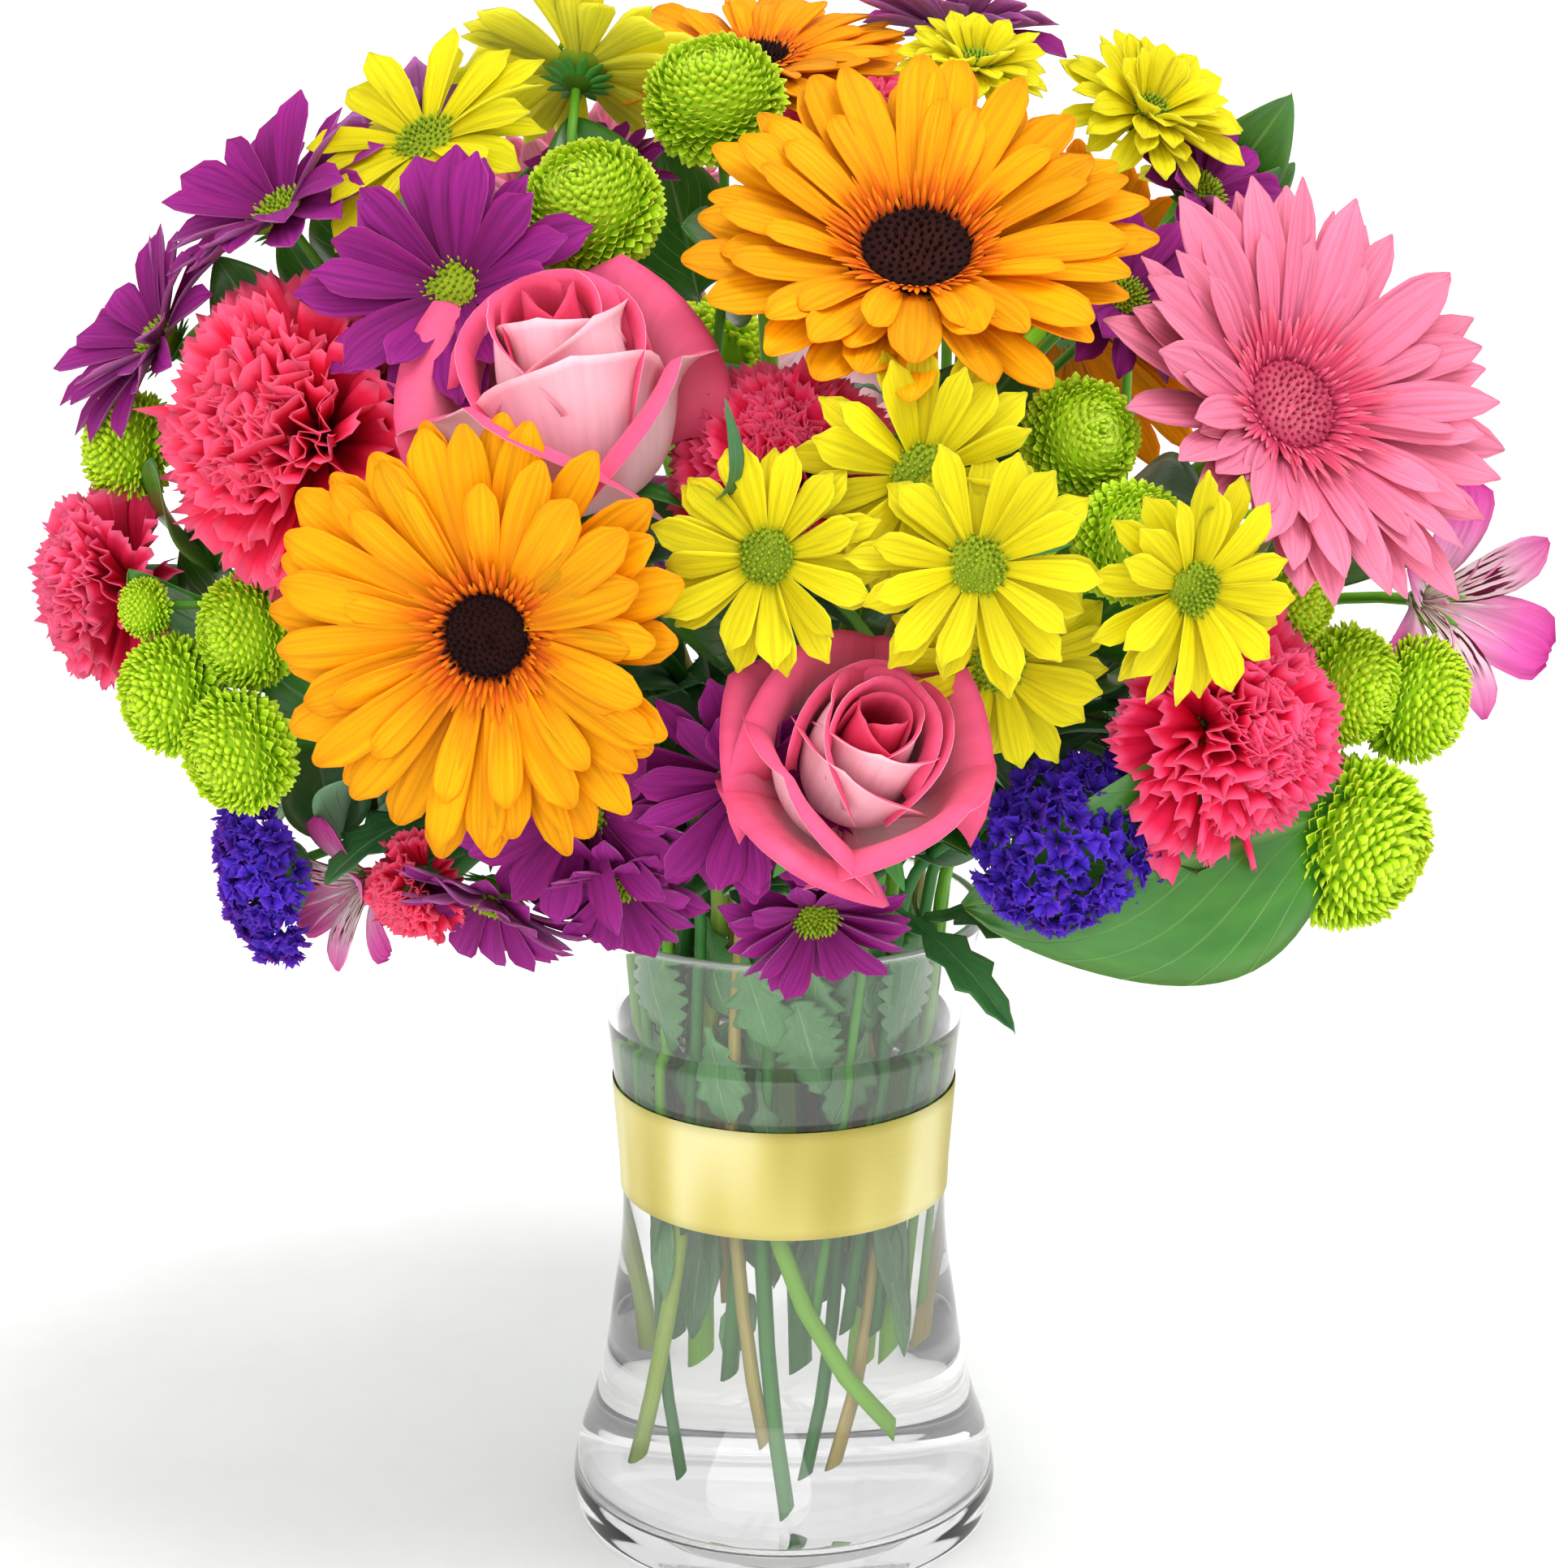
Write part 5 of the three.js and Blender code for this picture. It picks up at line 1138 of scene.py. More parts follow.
# %% [markdown]
# ## Daisy chrysanthemums
#
# Several heads share a stem. A head has two rows of grooved petals round a low green disc, whose buds have yellow
# tips; double heads have four rows. Copies of one head would show in a bouquet with more than twenty of them, so
# every head is grown anew from the same rule. The purple ones cup more and have broader petals with pale backs.

# %% A daisy's head
SPOON = [(0, 0.32), (0.2, 0.5), (0.5, 0.82), (0.75, 1), (0.9, 0.82), (0.97, 0.5), (1, 0.2)]


def daisy_head(rays, green, place, size, yellow, double):
    """Rings of rays in one pile, and the disc with its buds and green cup in the other."""
    lift = 0 if yellow else 12
    # count, reach in radii, offset in the ring, rise and droop in degrees, height
    rows = [(13, 1.0, 0, 4 + lift, lift - 14, 0), (12, 0.93, 0.5, 18 + lift, lift, 0.7)]
    if double:
        rows += [(12, 0.86, 0.2, 34, 14, 1.2), (10, 0.7, 0.6, 52, 34, 1.5)]
    for count, share, offset, rise, droop, height in rows:
        petals(rays, place, ring_turns(count, 0.25, offset), (size * share - 4) * rng.uniform(0.86, 1.05, count),
               size * (0.27 if yellow else 0.3) * rng.uniform(0.85, 1.1, count), SPOON, start=3.6, height=height,
               rise=rise + rng.normal(0, 4, count), droop=droop + rng.normal(0, 13, count), cup=0.3, groove=0.35,
               roll=rng.normal(0, 14, count), sway=rng.normal(0, 0.06, count), round_end=0.04, steps=(9, 7),
               thick=0.6)
    disc = size * 0.23
    lathe(green, [(0, -6), (2.4, -5.5), (5.2, -3), (5.4, -1), (disc, 0.6), (disc * 0.9, 2.2), (0, 3.4)], 16,
          place, tone=0.2, part=1)
    seeds(green, place, 80, disc, 1.6, 0.62, 1.5, height=2, part=1)
    petals(green, place, ring_turns(13, 0.2), 8, 3, LANCE, start=2.5, height=-4.5, rise=25, droop=5, steps=(5, 3),
           thick=0.5, tone=0.35)


print("petals of a single head:", 13 + 12)

# %% Growing the daisies
def daisy_spray(spray):
    """All heads of a spray; split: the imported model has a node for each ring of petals."""
    name, yellow, split = spray["name"], spray["name"].startswith("yellow"), spray.get("split")
    green, rays, backs, outs = Pile(), [], [], []
    for x, y, z, turn, tilt, radius in spray["heads"]:
        place = stand((x, y, z), turn, tilt)
        rays.append(Pile())
        daisy_head(rays[-1], green, place, radius * (1.14 if yellow else 1.2), yellow, spray.get("double"))
        outs.append(place[0][:, 2])
        backs.append(place[1] - outs[-1] * 4)
    trunk, branches = spray_paths(name, spray["slot"], backs, outs)
    rod(green, trunk, np.linspace(1.9, 1.7, len(trunk)), tone=0.95 if yellow else spray.get("tone", 0.8), cut=1.0)
    PATHS.append((trunk, "daisy"))
    for branch in branches:
        rod(green, branch, np.linspace(1.7, 1.3, len(branch)), 7, tone=0.5)
        PATHS.append((branch, "branch"))
    colour, slot = (yellow_ray, "yellow_petal") if yellow else (purple_ray, "purple_petal")
    for number, head in enumerate(rays, 1):
        nodes = [f"{name}_petals_{number}"] if split else [name]
        make_piece(f"{name}_rays_{number}", head, [colour], nodes)
    make_piece(f"{name}_stalks", green, [stem_skin, disc_green], [f"{name}_stems" if split else name])


for spray in DAISY_SPRAYS:
    daisy_spray(spray)

# %% [markdown]
# ## Button chrysanthemums
#
# A button is a ball of some 300 to 700 incurved florets, crowded and short at the face, longer, paler and more
# open towards the rim. A bump map would give dots but no outline. Here each floret is the same petal strip as
# before, with a frame of its own on the ball: its z axis points outwards and its x axis away from the middle of
# the face, so its tip curls towards the middle. They follow the golden spiral.

# %% The ball of a button
def look_out(x, y, z):
    """turn and tilt of a head that looks away from the middle of the bouquet, 300 mm up."""
    return math.degrees(math.atan2(x, -y)), math.degrees(math.atan2(z - 300, math.hypot(x, y)))


def pom(pile, place, size, shade):
    """One button; shade moves the tone of its florets up or down."""
    count, size = int(90 + size * 25), size * 1.01
    k = np.arange(count) + 0.5
    face = 1 - 1.82 * k / count
    round_ = k * GOLDEN
    flat = np.sqrt(1 - face ** 2)
    out = np.stack([flat * np.cos(round_), flat * np.sin(round_), face], axis=1)
    away = np.stack([face * np.cos(round_), face * np.sin(round_), -flat], axis=1)
    frames = np.stack([away, np.cross(out, away), out], axis=2)
    dip = np.clip((face - 0.8) / 0.2, 0, 1) * size * 0.1
    foot = out * (size * 0.8 - dip)[:, None] * np.array([1, 1, 0.86])
    grown = (place[0] @ frames, foot @ place[0].T + place[1])
    share = np.clip((1 - face) / 1.82, 0, 1)
    length = size * (0.2 + 0.1 * share) * rng.uniform(0.8, 1.15, count)
    petals(pile, grown, np.zeros(count), length, size * (0.13 + 0.05 * share), SPOON, start=0,
           rise=78 + rng.normal(0, 12, count), droop=165 - 55 * share + rng.normal(0, 16, count), bend=1.1, cup=0.6,
           steps=(5, 3), thick=0.35, tone=np.clip(share + shade + rng.normal(0, 0.2, count), 0, 1.3))
    core = size * 0.82        # a dark ball closes the gaps between the feet
    belly = [(core * math.sin(a), -core * 0.86 * math.cos(a)) for a in np.linspace(0.25, 2.9, 9)]
    lathe(pile, [(0, -core * 0.9)] + belly + [(0, core * 0.72)], 18, place, tone=0.0)


print("florets of the smallest and largest button:", [int(90 + size * 25) for size in (8, 23)])

# %% Growing the buttons
for spray in POM_SPRAYS:
    florets, green, backs, outs = Pile(), Pile(), [], []
    for x, y, z, size in spray["heads"]:
        place = stand((x, y, z), *look_out(x, y, z))
        pom(florets, place, size, spray.get("shade", 0))
        out = place[0][:, 2]
        backs.append(place[1] - out * 8)
        outs.append(out)
    trunk, branches = spray_paths(spray["name"], spray["slot"], backs, outs)
    rod(green, trunk, np.linspace(1.8, 1.6, len(trunk)), tone=0.55, cut=1.0)
    PATHS.append((trunk, "daisy"))
    for branch in branches:
        rod(green, branch, np.linspace(1.6, 1.3, len(branch)), 7, tone=0.45)
        PATHS.append((branch, "branch"))
    make_piece(f"{spray['name']}_florets", florets, [lime_floret], [spray["name"]])
    make_piece(f"{spray['name']}_stalks", green, [stem_skin], [spray["name"]])

# %% [markdown]
# ## Statice
#
# Statice is a crowd of papery violet funnels on a flattened sprig. Particles on a surface could place them; the
# golden spiral on half a ball does it in three lines, with some scatter so that no row shows. A funnel is five
# short ruffled blades in a ring.

# %% Growing the statice
for sprig in STATICE:
    place = stand(sprig["at"], sprig["turn"], sprig["tilt"])
    cups, green, count = Pile(), Pile(), 124
    k = np.arange(count) + 0.5
    spread = np.sqrt(k / count)
    angle = k * GOLDEN
    lean = np.radians(84) * spread + rng.normal(0, 0.06, count)
    angle = angle + rng.normal(0, 0.08, count)
    out = np.stack([np.sin(lean) * np.cos(angle), np.sin(lean) * np.sin(angle), np.cos(lean)], axis=1)
    away = np.stack([np.cos(lean) * np.cos(angle), np.cos(lean) * np.sin(angle), -np.sin(lean)], axis=1)
    frames = place[0] @ np.stack([away, np.cross(out, away), out], axis=2)
    size = sprig["radius"]
    wide, tall = sprig.get("wide", 1), sprig.get("tall", 1)
    foot = out * np.array([size * 0.8 * wide, size * 0.84 * tall, size * 0.5]) * rng.uniform(0.8, 1.08, (count, 1))
    foot[:, 2] -= size * 0.42
    five = np.tile(np.arange(5) * 72.0, count)
    grown = (np.repeat(frames, 5, axis=0), np.repeat(foot @ place[0].T + place[1], 5, axis=0))
    petals(cups, grown, five + rng.uniform(-20, 20, 5 * count), rng.uniform(3.8, 6.2, 5 * count), 4.2, FAN, start=0.3,
           rise=76, droop=22 + rng.normal(0, 18, 5 * count), bend=1.0, ruffle=0.8, waves=2, teeth=0.1, steps=(5, 5),
           thick=0.3, tone=np.repeat(rng.uniform(0, 1, count), 5))
    lathe(green, [(0, -size * 0.95), (size * 0.25, -size * 0.85), (size * 0.6, -size * 0.5), (size * 0.5, -size * 0.2),
                  (0, -size * 0.1)], 14, place, tone=0.2)
    out = place[0][:, 2]
    grow_stem(green, sprig["name"], sprig["slot"], place[1] - out * 12, out, 1.4, "statice", 0.4)
    make_piece(f"{sprig['name']}_cups", cups, [violet_cup], [sprig["name"]])
    make_piece(f"{sprig['name']}_stalk", green, [stem_skin], [sprig["name"]])

# %% [markdown]
# ## Alstroemeria
#
# Alstroemeria opens three broad and three narrow petals and lets six stamens bend out of its throat. The narrow
# ones carry dark dashes, which guide bees. They could be painted in a picture; noise stretched along the petal and
# cut off sharply gives dashes about 1.3 mm wide and 10 mm long, as on the real flower, and stays a procedure.

# %% Growing the alstroemerias
# Striped alstroemeria petal: the same silky skin, nearly white, so the wine-red dashes stand out.
throat_dash = petal_finish("striped_alstroemeria_petal", [(0, "#f8ecd0"), (0.45, "#f8e4e8"), (0.8, "#e48cbc"),
                                                          (1, "#cc5098")], back="#dc84b8", dashes="#5c0c30")
for bloom in ALSTROEMERIAS:
    place = stand(bloom["at"], bloom["turn"], bloom["tilt"])
    size, petal, green = bloom["radius"], Pile(), Pile()
    petals(petal, place, np.arange(3) * 120.0 + 90, size * 1.2, size * 0.64, STRAP, start=1.5, height=-11, rise=52,
           droop=8, bend=1.2, cup=0.2, ruffle=0.8, steps=(12, 9), thick=0.6)
    petals(petal, place, np.arange(3) * 120.0 + 30, size * 1.16, size * 0.44, POINTED, start=1.2, height=-10, rise=58,
           droop=18, bend=1.2, cup=0.3, steps=(12, 7), thick=0.6, part=1)
    petals(petal, place, ring_turns(6, 0.3), size * 0.95, 1.0, NEEDLE, start=0.8, height=-9, rise=82,
           droop=30 + rng.normal(0, 10, 6), steps=(8, 3), thick=0.8, part=1)
    petals(green, place, ring_turns(6, 0.1), size * 0.5, 3.4, LANCE, start=0.6, height=-14, rise=60, droop=70,
           steps=(6, 3), thick=1.6, tone=0.5)
    out = place[0][:, 2]
    grow_stem(green, bloom["name"], bloom["slot"], place[1] - out * 13, out, 1.7, "alstroemeria", 0.55)
    make_piece(f"{bloom['name']}_petals", petal, [lilac_petal, throat_dash], [bloom["name"]])
    make_piece(f"{bloom['name']}_stalk", green, [stem_skin], [bloom["name"]])

# %% [markdown]
# ## Salal
#
# Salal gives the large glossy leaves at the collar. Each plant is one stem with its leaves along the upper part,
# and the table names every tip, because the broad leaf at the lower right is plain to see. The leaves could be
# scattered along the stem instead, but then that one would not be where it belongs.

# %% Growing the salal
for plant in SALAL:
    green, end = Pile(), np.array(plant["end"], float)
    path = stem_path(plant["name"], plant["slot"], end, np.array([end[0], end[1], 0]) / math.hypot(end[0], end[1]))
    rod(green, path, np.linspace(1.9, 1.4, len(path)), tone=0.1, cut=1.0)
    share = np.array([leaf[0] for leaf in plant["leaves"]])
    upper = path[7:]
    base = upper[np.clip(((share * 4 - 1) / 3 * (len(upper) - 1)).astype(int), 0, len(upper) - 1)]
    leaves(green, base, [leaf[1:4] for leaf in plant["leaves"]], [facing(*leaf[5:7]) for leaf in plant["leaves"]],
           [leaf[4] * 1.08 for leaf in plant["leaves"]], OVAL, arch=0.13, fold=0.22, steps=(18, 9), thick=0.7, part=1)
    make_piece(f"{plant['name']}_foliage", green, [stem_skin, waxy_leaf], [plant["name"]])

# %% [markdown]
# ## Filling leaves
#
# Between the blooms the photograph shows dark green. Placing every hidden leaf by hand would take a day, so these
# grow by a rule: each starts on one of the kept stem paths, points outwards with some scatter, and stops short of
# the blooms' faces, inside an egg that is a little smaller than the bouquet.

# %% The room that leaves have
CENTRE, EGG = np.array([0, -4.0, 292]), np.array([168, 142, 118])


def inside(points, share):
    """Pulls points that lie further out than this share of the egg back to it."""
    offset = (points - CENTRE) / EGG
    far = np.linalg.norm(offset, axis=1, keepdims=True)
    return CENTRE + offset * EGG * np.minimum(1, share / np.maximum(far, 1e-6))


print("a far point is pulled back to", inside(np.array([[300.0, 0, 292]]), 0.92)[0].round(1))

# %% Growing the filling leaves
fill, blade = Pile(), Pile()
for path, kind in PATHS:
    if kind in ("gerbera", "branch"):
        continue
    upper = path[8:]
    for share in (0.2, 0.36, 0.52, 0.68, 0.86):
        start = upper[int(share * (len(upper) - 1))]
        radial = np.array([start[0], start[1], 0]) / (math.hypot(start[0], start[1]) + 1e-6)
        for _ in range(2 if kind == "daisy" else 3):
            swing = rng.normal(0, 0.9)
            turned = np.array([radial[0] * math.cos(swing) - radial[1] * math.sin(swing),
                               radial[0] * math.sin(swing) + radial[1] * math.cos(swing), rng.uniform(-0.1, 0.7)])
            long = rng.uniform(34, 58)
            tip = inside((start + turned / np.linalg.norm(turned) * long)[None], 0.92)[0]
            tip[2] = max(tip[2], 204)
            if np.linalg.norm(tip - start) < 22:
                continue
            out = np.array([radial[0] * 0.6, radial[1] * 0.6, 1.0]) + rng.normal(0, 0.25, 3)
            if kind in ("carnation", "alstroemeria"):
                leaves(blade, start, tip, out, 9, LANCE, arch=0.2, fold=0.3, steps=(9, 5), part=0)
            else:
                leaves(fill, start, tip, out, rng.uniform(20, 28), LOBED if kind == "daisy" else OVAL,
                       arch=rng.uniform(0.05, 0.25), fold=0.3, wave=0.04, steps=(24, 7), part=0)
make_piece("filling_leaves", fill, [mum_leaf])
make_piece("narrow_leaves", blade, [mum_leaf])

# %% [markdown]
# A florist finishes the underside with a loose collar of leaves, so that no bare stems show. Two rings of salal
# do that here, all the way round: a wide one under the blooms and a narrow one that rises from the rim.

# %% The collar
collar = Pile()
for clock in np.arange(0, 360, 18.0) + rng.uniform(-7, 7, 20):
    angle, high = math.radians(clock), rng.uniform(222, 262)
    way = np.array([math.sin(angle), -math.cos(angle), 0])
    tip = way * rng.uniform(102, 124) + [0, 0, high + rng.uniform(-12, 30)]
    leaves(collar, way * rng.uniform(34, 48) + [0, 0, high - 8], tip, way * 0.7 + [0, 0, 1.0], rng.uniform(28, 38),
           OVAL, arch=rng.uniform(0.08, 0.2), fold=0.25, steps=(16, 7), thick=0.6)
for clock in np.arange(0, 360, 18.0) + rng.uniform(-6, 6, 20):
    way = np.array([math.sin(math.radians(clock)), -math.cos(math.radians(clock)), 0])
    leaves(collar, way * rng.uniform(16, 26) + [0, 0, rng.uniform(192, 204)],
           way * rng.uniform(50, 62) + [0, 0, rng.uniform(208, 226)], way * 0.5 + [0, 0, 1.0], rng.uniform(20, 28),
           OVAL, arch=rng.uniform(0.05, 0.2), fold=0.25, steps=(16, 7), thick=0.6)
make_piece("collar_leaves", collar, [waxy_leaf])

# %% [markdown]
# ## Leaves placed one by one
#
# Some leaves are plain to see in the photograph, so a rule won't do: the broad salal leaf under the right
# carnation, the dark ones behind the roses, and the lobed ones that droop over the rim. Each has its row here.

# %% Glossy leaves placed one by one
# base, tip, width, turn and tilt of the side that shows
GLOSSY = [
    ((152, -98, 250), (46, -126, 230), 62, 20, 4), ((112, 14, 384), (137, -4, 421), 24, 20, 20),
    ((116, 8, 380), (139, -2, 402), 15, 30, 20), ((-8, -92, 288), (-36, -138, 318), 28, -10, 30),
    ((-138, -48, 280), (-172, -76, 306), 30, -50, 30), ((-16, -36, 366), (-26, -74, 397), 30, -10, 40),
    ((-110, -30, 362), (-132, -50, 392), 20, -40, 30), ((124, -50, 292), (176, -66, 306), 28, 60, 40),
    ((-60, 44, 350), (-66, 8, 402), 36, -20, 30), ((-24, 40, 356), (-34, 2, 408), 32, 0, 30),
    ((-92, 30, 350), (-104, -8, 398), 30, -30, 30), ((66, -60, 330), (84, -112, 352), 30, 20, 30),
    ((20, -80, 330), (12, -140, 352), 30, 5, 30), ((-90, -60, 310), (-100, -112, 322), 32, -30, 30),
    ((128, 20, 330), (160, -30, 352), 30, 60, 30), ((-130, 30, 340), (-166, -6, 352), 32, -70, 30),
    ((78, -62, 318), (106, -106, 330), 32, 30, 20), ((80, -70, 276), (104, -112, 300), 32, 30, 20),
    ((112, -64, 300), (128, -96, 326), 28, 40, 20), ((-60, -50, 330), (-80, -90, 370), 34, -20, 30),
    ((40, -50, 326), (64, -82, 366), 34, 10, 30), ((66, -90, 320), (70, -112, 346), 26, 10, 20),
    ((70, -80, 286), (92, -112, 318), 30, 20, 20), ((-74, -50, 328), (-98, -86, 366), 40, -25, 25),
    ((-40, -60, 380), (-56, -40, 420), 30, -10, 30), ((-98, -30, 372), (-116, -54, 410), 34, -30, 30),
    ((-150, -50, 300), (-166, -66, 334), 30, -60, 20),
    ((-104, -70, 262), (-134, -92, 284), 34, -45, 20), ((-120, -40, 350), (-150, -44, 384), 30, -50, 30),
]
print("glossy leaves by hand:", len(GLOSSY))

# %% Cut-edged leaves placed one by one
CUT_EDGED = [
    ((28, -42, 204), (62, -83, 180), 15, 20, 30), ((38, -50, 202), (74, -86, 204), 26, 30, 50),
    ((66, -72, 246), (76, -100, 250), 24, 20, 20), ((-88, -72, 240), (-120, -102, 228), 20, -40, 30),
    ((-78, -78, 236), (-101, -110, 225), 18, -35, 30), ((8, -56, 208), (22, -110, 214), 28, 5, 50),
    ((-28, -56, 208), (-44, -106, 212), 28, -20, 50),
]
glossy, cut_edged = Pile(), Pile()
for pile, rows, outline in ((glossy, GLOSSY, OVAL), (cut_edged, CUT_EDGED, LOBED)):
    for base, tip, width, turn, tilt in rows:
        leaves(pile, base, tip, facing(turn, tilt), width, outline, arch=0.1, fold=0.2, steps=(24, 9), thick=0.6)
# One slim leaf stands before the upper rose.
leaves(cut_edged, (-19, -158, 340), (-14, -172, 372), facing(30, 10), 5, LANCE, arch=0.25, steps=(14, 5))
make_piece("glossy_leaves", glossy, [waxy_leaf])
make_piece("cut_edged_leaves", cut_edged, [mum_leaf])

# %% [markdown]
# ## Leaves inside the glass
#
# Lower leaves are caught in the vase. They lie along its wall, in the neck and in the water, so the wall's
# profile is needed first: height and radius of its outside, as measured in the photograph at the vase's scale.
# A drawn table is surer here than letting leaves fall in a simulation, because the glass shows each of them.

# %% The wall of the vase
OUTER = [(0, 57.2), (0.8, 59), (4, 61), (9, 62), (14.5, 62.3), (25, 60.5), (38, 56), (52, 52.5), (70, 50), (84, 47.9),
         (98, 47), (112, 47.2), (125, 48.2), (138, 49.2), (155, 51), (168, 53.1), (180, 55.6), (188.4, 57.6)]
WALL, FLOOR, WATER_TOP = 3.0, 9.0, 156.0     # thickness of the wall, and heights of the glass floor and the water
print("the waist is", round(2 * min(radius for _, radius in OUTER), 1), "mm across")

# %% Tables of the leaves in the vase
# clock angle of the base and of the tip, height of both, width
PRESSED = [
    (-14, -4, 190, 162, 21), (4, 14, 176, 148, 20), (-30, -20, 166, 138, 20), (34, 18, 164, 138, 20),
    (-56, -44, 188, 156, 22), (56, 42, 190, 158, 22), (-72, -60, 160, 130, 20), (70, 60, 158, 128, 20),
    (100, 90, 184, 150, 24), (136, 124, 188, 152, 24), (170, 180, 180, 148, 24), (-100, -90, 186, 152, 24),
    (-140, -128, 182, 148, 24), (-10, 0, 150, 112, 16), (54, 48, 104, 62, 9), (42, 51, 110, 70, 11),
    (-60, -52, 112, 78, 12), (120, 110, 104, 66, 14), (170, 160, 100, 60, 14), (-130, -120, 106, 64, 14),
]
# base, tip and width of the leaves that hang between the stems
HANGING = [
    ((-17, -10, 108), (-21, -8, 60), 12), ((-8, -14, 78), (-13, -12, 56), 9), ((8, -14, 108), (5, -16, 70), 9),
    ((26, -18, 108), (23, -16, 72), 9), ((-30, -22, 110), (-33, -18, 84), 9), ((14, 6, 110), (16, 4, 66), 12),
    ((-4, 8, 110), (-2, 10, 72), 12),
]
print("leaves in the vase:", len(PRESSED), "by the wall and", len(HANGING), "among the stems")

# %% Growing the leaves in the vase
def outer_radius(height):
    """Of the vase's outside."""
    return float(np.interp(height, *np.array(OUTER).T))


def by_the_wall(clock, height, gap):
    """A point inside the vase, that far from its wall."""
    angle, radius = math.radians(clock), outer_radius(height) - WALL - gap
    return math.sin(angle) * radius, -math.cos(angle) * radius, height


pressed = Pile()
for start, end, high, low, width in PRESSED:
    leaves(pressed, by_the_wall(start, high, 7.5), by_the_wall(end, low, 4.5), facing((start + end) / 2, 0), width,
           (LOBED if start % 4 else TOOTHED) if width > 15 else LANCE, arch=0.02, fold=-0.16, wave=0.02,
           steps=(25, 9), thick=0.5)
for clock in np.arange(0, 360, 9.0) + rng.uniform(-4, 4, 40):
    high = rng.uniform(164, 195)
    leaves(pressed, by_the_wall(clock, high, rng.uniform(13, 22)),
           by_the_wall(clock + rng.uniform(-16, 16), high - rng.uniform(20, 30), rng.uniform(9, 14)),
           facing(clock + rng.uniform(-30, 30), rng.uniform(-10, 20)), rng.uniform(15, 22), LOBED, arch=0.05,
           fold=-0.2, wave=0.03, steps=(25, 7), thick=0.5)
for start, end, width in HANGING:
    leaves(pressed, start, end, facing(rng.uniform(-30, 30), 0), width, LANCE, arch=0.05, wave=0.03, steps=(21, 7),
           thick=0.5)
# These leaves take the wet finish, whose lighter greens are painted light.
make_piece("pressed_leaves", pressed, [wet_leaf_painted_light])

# %% [markdown]
# ## The vase
#
# A gathering vase is clear soda-lime glass, pressed in a mould: a heavy bottom, a waist and a flared rim that is
# ground and polished. The Screw modifier could spin its outline; the lathe of this lesson does the same and also
# tells the finish where on the section each point is. The profile is a smooth curve through the measured points.

# %% A smooth profile
def smooth(points, steps=4):
    """A smooth curve through all the points: its slope at each is that of the line between its neighbours."""
    points = np.array(points, float)
    padded = np.concatenate([[2 * points[0] - points[1]], points, [2 * points[-1] - points[-2]]])
    made = []
    for a, b, c, d in zip(padded[:-3], padded[1:-2], padded[2:-1], padded[3:]):
        for t in np.arange(steps) / steps:
            made.append(0.5 * (2 * b + (c - a) * t + (2 * a - 5 * b + 4 * c - d) * t ** 2
                               + (3 * b - a - 3 * c + d) * t ** 3))
    return made + [points[-1]]


print("the", len(OUTER), "measured points become", len(smooth(OUTER)))

# %% The section of the glass
outside = [(r, h) for h, r in OUTER]
inside_wall = [(r - WALL, h) for h, r in OUTER if h > 22]
lip = [(56.1 + 1.5 * math.cos(a), 188.45 + 1.5 * math.sin(a)) for a in np.radians(np.linspace(25, 155, 7))]
well = [(0, FLOOR), (20, FLOOR), (40, FLOOR + 0.3), (50, FLOOR + 1.2), (55, FLOOR + 4), (57.4, FLOOR + 9)]
profile = smooth([(56, 0.2)] + outside[1:]) + lip + smooth(well + inside_wall)[::-1]
glass_pile = Pile()
section = [(0, 1.6), (40, 1.4), (52, 0.6), (54.5, 0)] + [tuple(p) for p in profile][:-1] + [(0, FLOOR)]
lathe(glass_pile, section, 128)
rim_share = (int(np.argmax([height for _, height in section])) - 1) / (len(section) - 3)
print("the section has", len(section), "points, and the rim is", round(rim_share, 3), "of the way along it")

# %% [markdown]
# Glass bends light by its IOR, 1.5 for soda-lime. The ground rim scatters a little: there less light goes
# straight through, which draws the pale line that tells the eye where the vase ends. Pressed walls are never
# quite even, so a very faint ripple, about 30 mm wide, lets the reflections swim.

# %% Clear glass
# Soda-lime glass, pressed: colourless, perfectly smooth, so it shows itself only by what it bends and mirrors.
clear_glass, tree, main = new_finish("pressed_clear_glass", base_color=linear("#fefefe"), roughness=0.0, ior=1.5,
                                     transmission_weight=1.0)
emboss(tree, main, add(tree, "ShaderNodeTexNoise", {"Scale": 5.0, "Detail": 0.0}).outputs["Fac"], 0.04, 0.002)
spot, parts = read_spot(tree)
away = reckon(tree, "ABSOLUTE", reckon(tree, "SUBTRACT", parts["Y"], rim_share))
tree.links.new(remap(tree, away, 0.012, 0.03, (0.45, 1.0)), main.inputs["Transmission Weight"])
vase = make_piece("vase_glass", glass_pile, [clear_glass], ["glass_vase"])

# %% [markdown]
# ## The water
#
# Water fills the vase to just above the ribbon and creeps up the glass at its edge. It could stop short of the
# wall, but a gap of air would turn the wall into a mirror. So its skin reaches 0.15 mm into the glass, and light
# goes straight from one to the other as in a real full vase. Its IOR is 1.333 and it has no roughness at all.
#
# Neither vase nor water casts a shadow: clear glass lets nearly all light through, and the path tracer would
# need thousands of samples for the rest.

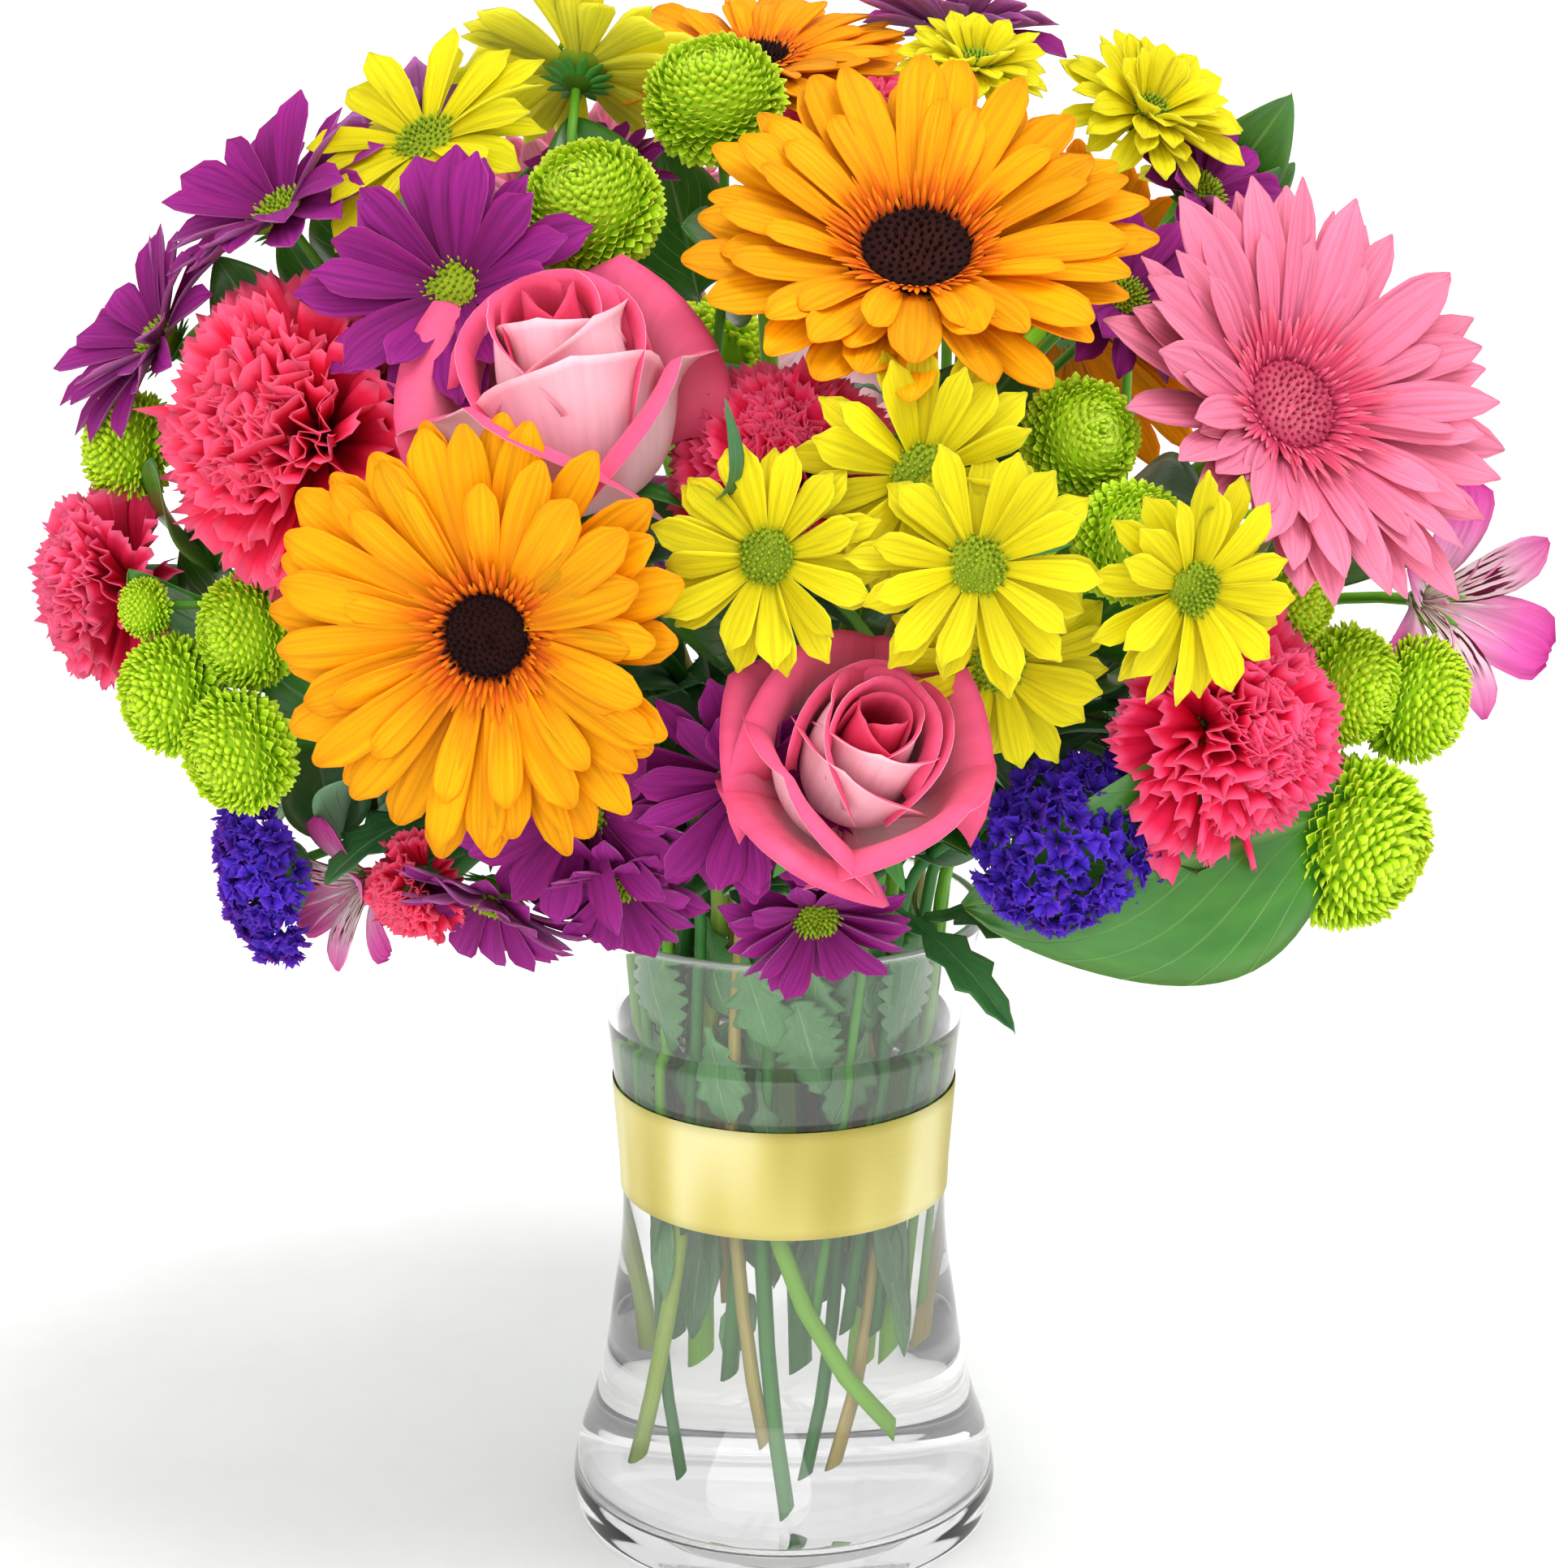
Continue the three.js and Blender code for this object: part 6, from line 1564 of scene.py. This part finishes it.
# %% Water
# Still water: no colour and no roughness; at this depth only its bent stems give it away.
wet, tree, main = new_finish("still_water", base_color=linear("#ffffff"), roughness=0.0, ior=1.333,
                             transmission_weight=1.0)
emboss(tree, main, add(tree, "ShaderNodeTexNoise", {"Scale": 6.0, "Detail": 0.0}).outputs["Fac"], 0.02, 0.001)
into = 0.15                   # mm of overlap with the glass
inner = [(r + into, h) for r, h in smooth(well + inside_wall)]
column = [(r, h - into if h < 12 else h) for r, h in inner if h < WATER_TOP - 1]
edge = outer_radius(WATER_TOP) - WALL + into
water_pile = Pile()
lathe(water_pile, column + [(edge, WATER_TOP + 1.2), (edge - 0.9, WATER_TOP + 0.4), (edge - 3, WATER_TOP),
                            (edge - 20, WATER_TOP), (0, WATER_TOP)], 128)
pool = make_piece("vase_water", water_pile, [wet], ["water"])
for piece in (vase, pool):
    piece.visible_shadow = False

# %% [markdown]
# ## The ribbon
#
# The ribbon is double-faced satin, 33 mm wide, drawn tight round the waist with its end lapped at the back.
# Satin floats its threads over many others, so light slides off it in broad soft bands across the threads. The
# bands could be left to the lamps alone; a little of them is painted into the colour too, a painted sheen of
# light and dark bands as they show in the photograph. Woven polyester starts at a roughness of 0.5, and
# anisotropy stretches its highlight along the threads. Those are about 0.1 mm apart; they are drawn 0.5 mm
# apart, the finest that shows.

# %% Satin
# Double-faced satin: woven polyester, pale yellow, with a sheen that is brightest where it turns away.
satin, tree, main = new_finish("double_faced_satin", roughness=0.5, sheen_weight=0.1, anisotropic=0.5,
                               specular_ior_level=0.3)
spot, parts = read_spot(tree)
# painted sheen: soft light and dark bands some 28 mm wide; half the girth, 155 mm, is one unit
painted_sheen_bands = noise(tree, stretch(tree, spot, (5.5, 0.25, 0.0)), 1.0)
# 66 drawn threads lie side by side in the 33 mm
yarn = reckon(tree, "SINE", reckon(tree, "MULTIPLY", parts["Y"], 66 * 2 * math.pi))
# painted sheen: the colour goes darker and lighter across these bands
colour = ramp(tree, painted_sheen_bands, [(0.34, "#b8a84c"), (0.5, "#d4c670"), (0.62, "#eae0a0")])
tree.links.new(colour, main.inputs["Base Color"])
emboss(tree, main, yarn, 0.12, 0.0003)
print("nodes of the satin:", len(tree.nodes))

# %% [markdown]
# A tight band has no folds to simulate. It is one sheet of the vase's own radius plus a hair of air, and its end
# lifts over its start where it laps.

# %% The band
LOW, HIGH, CLOTH = 105.0, 138.0, 0.4
turns = np.radians(np.linspace(90, 90 + 366, 245))     # laps six degrees at the back
rows = np.linspace(LOW, HIGH, 9)
# its distance from the glass: in the last 12 steps it climbs over its own start
lap = np.interp(np.arange(len(turns)), [0, 12, len(turns) - 13, len(turns) - 1], [0.45, 0.45, 0.45, 1.1])
band = np.array([[[(outer_radius(h) + gap) * math.cos(a), (outer_radius(h) + gap) * math.sin(a), h]
                  for a, gap in zip(turns, lap)] for h in rows])
ribbon_pile = Pile()
shells(ribbon_pile, band[None, :, :, :], CLOTH, [0.5])
ribbon = make_piece("ribbon_band", ribbon_pile, [satin], ["satin_ribbon"])

# %% [markdown]
# ## Floor and light
#
# The photograph is a cut-out on white with a soft shadow at the vase's foot, to the left. A white floor, an even
# white world and two broad lamps give that: the key from the upper right draws the shadow, and a weaker one from
# the front opens the dark gaps between the petals. Area lamps nearby would light the near blooms more than the
# far ones, so both are far away, like suns that look very large.

# %% The floor
# Background paper: matt and fibrous. Its fibres are far too fine to show from here, so the grain is drawn
# some 15 mm wide and nearly as light as the ground.
paper, tree, main = new_finish("white_studio_paper", roughness=0.9)
grain = add(tree, "ShaderNodeTexNoise", {"Scale": 900.0}).outputs["Fac"]
tree.links.new(mix(tree, grain, linear("#f6f6f6"), linear("#fbfbfb")), main.inputs["Base Color"])
sheet = bpy.data.meshes.new("studio_floor")
sheet.from_pydata([(-6, -6, 0), (6, -6, 0), (6, 9, 0), (-6, 9, 0)], [], [(0, 1, 2, 3)])
sheet.materials.append(paper)
floor = bpy.data.objects.new("studio_floor", sheet)
bpy.context.collection.objects.link(floor)
floor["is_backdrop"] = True
print("floor:", tuple(round(side) for side in floor.dimensions[:2]), "m")

# %% The lamps
world = bpy.data.worlds.new("white_studio")
bpy.context.scene.world = world
world.use_nodes = True
world.node_tree.nodes["Background"].inputs["Color"].default_value = (1, 1, 1, 1)
world.node_tree.nodes["Background"].inputs["Strength"].default_value = 0.86


def sky_light(name, azimuth, elevation, strength, spread):
    """A far, broad lamp: azimuth round from the front to the right, and how wide it looks, in degrees."""
    light = bpy.data.lights.new(name, "SUN")
    light.energy, light.angle = strength, math.radians(spread)
    made = bpy.data.objects.new(name, light)
    made.rotation_euler = (math.radians(90 - elevation), 0, math.radians(azimuth))
    bpy.context.collection.objects.link(made)


sky_light("key_softbox", 50, 62, 1.75, 30)
sky_light("front_softbox", -15, 22, 1.1, 60)
print("lamps:", len(bpy.data.lights))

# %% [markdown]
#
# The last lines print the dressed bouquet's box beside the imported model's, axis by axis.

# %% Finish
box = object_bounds()
for axis, low, high, cad_low, cad_high in zip("xyz", *box, *cad_box):
    print(axis, round(low, 4), round(high, 4), "packed:", round(cad_low, 4), round(cad_high, 4))
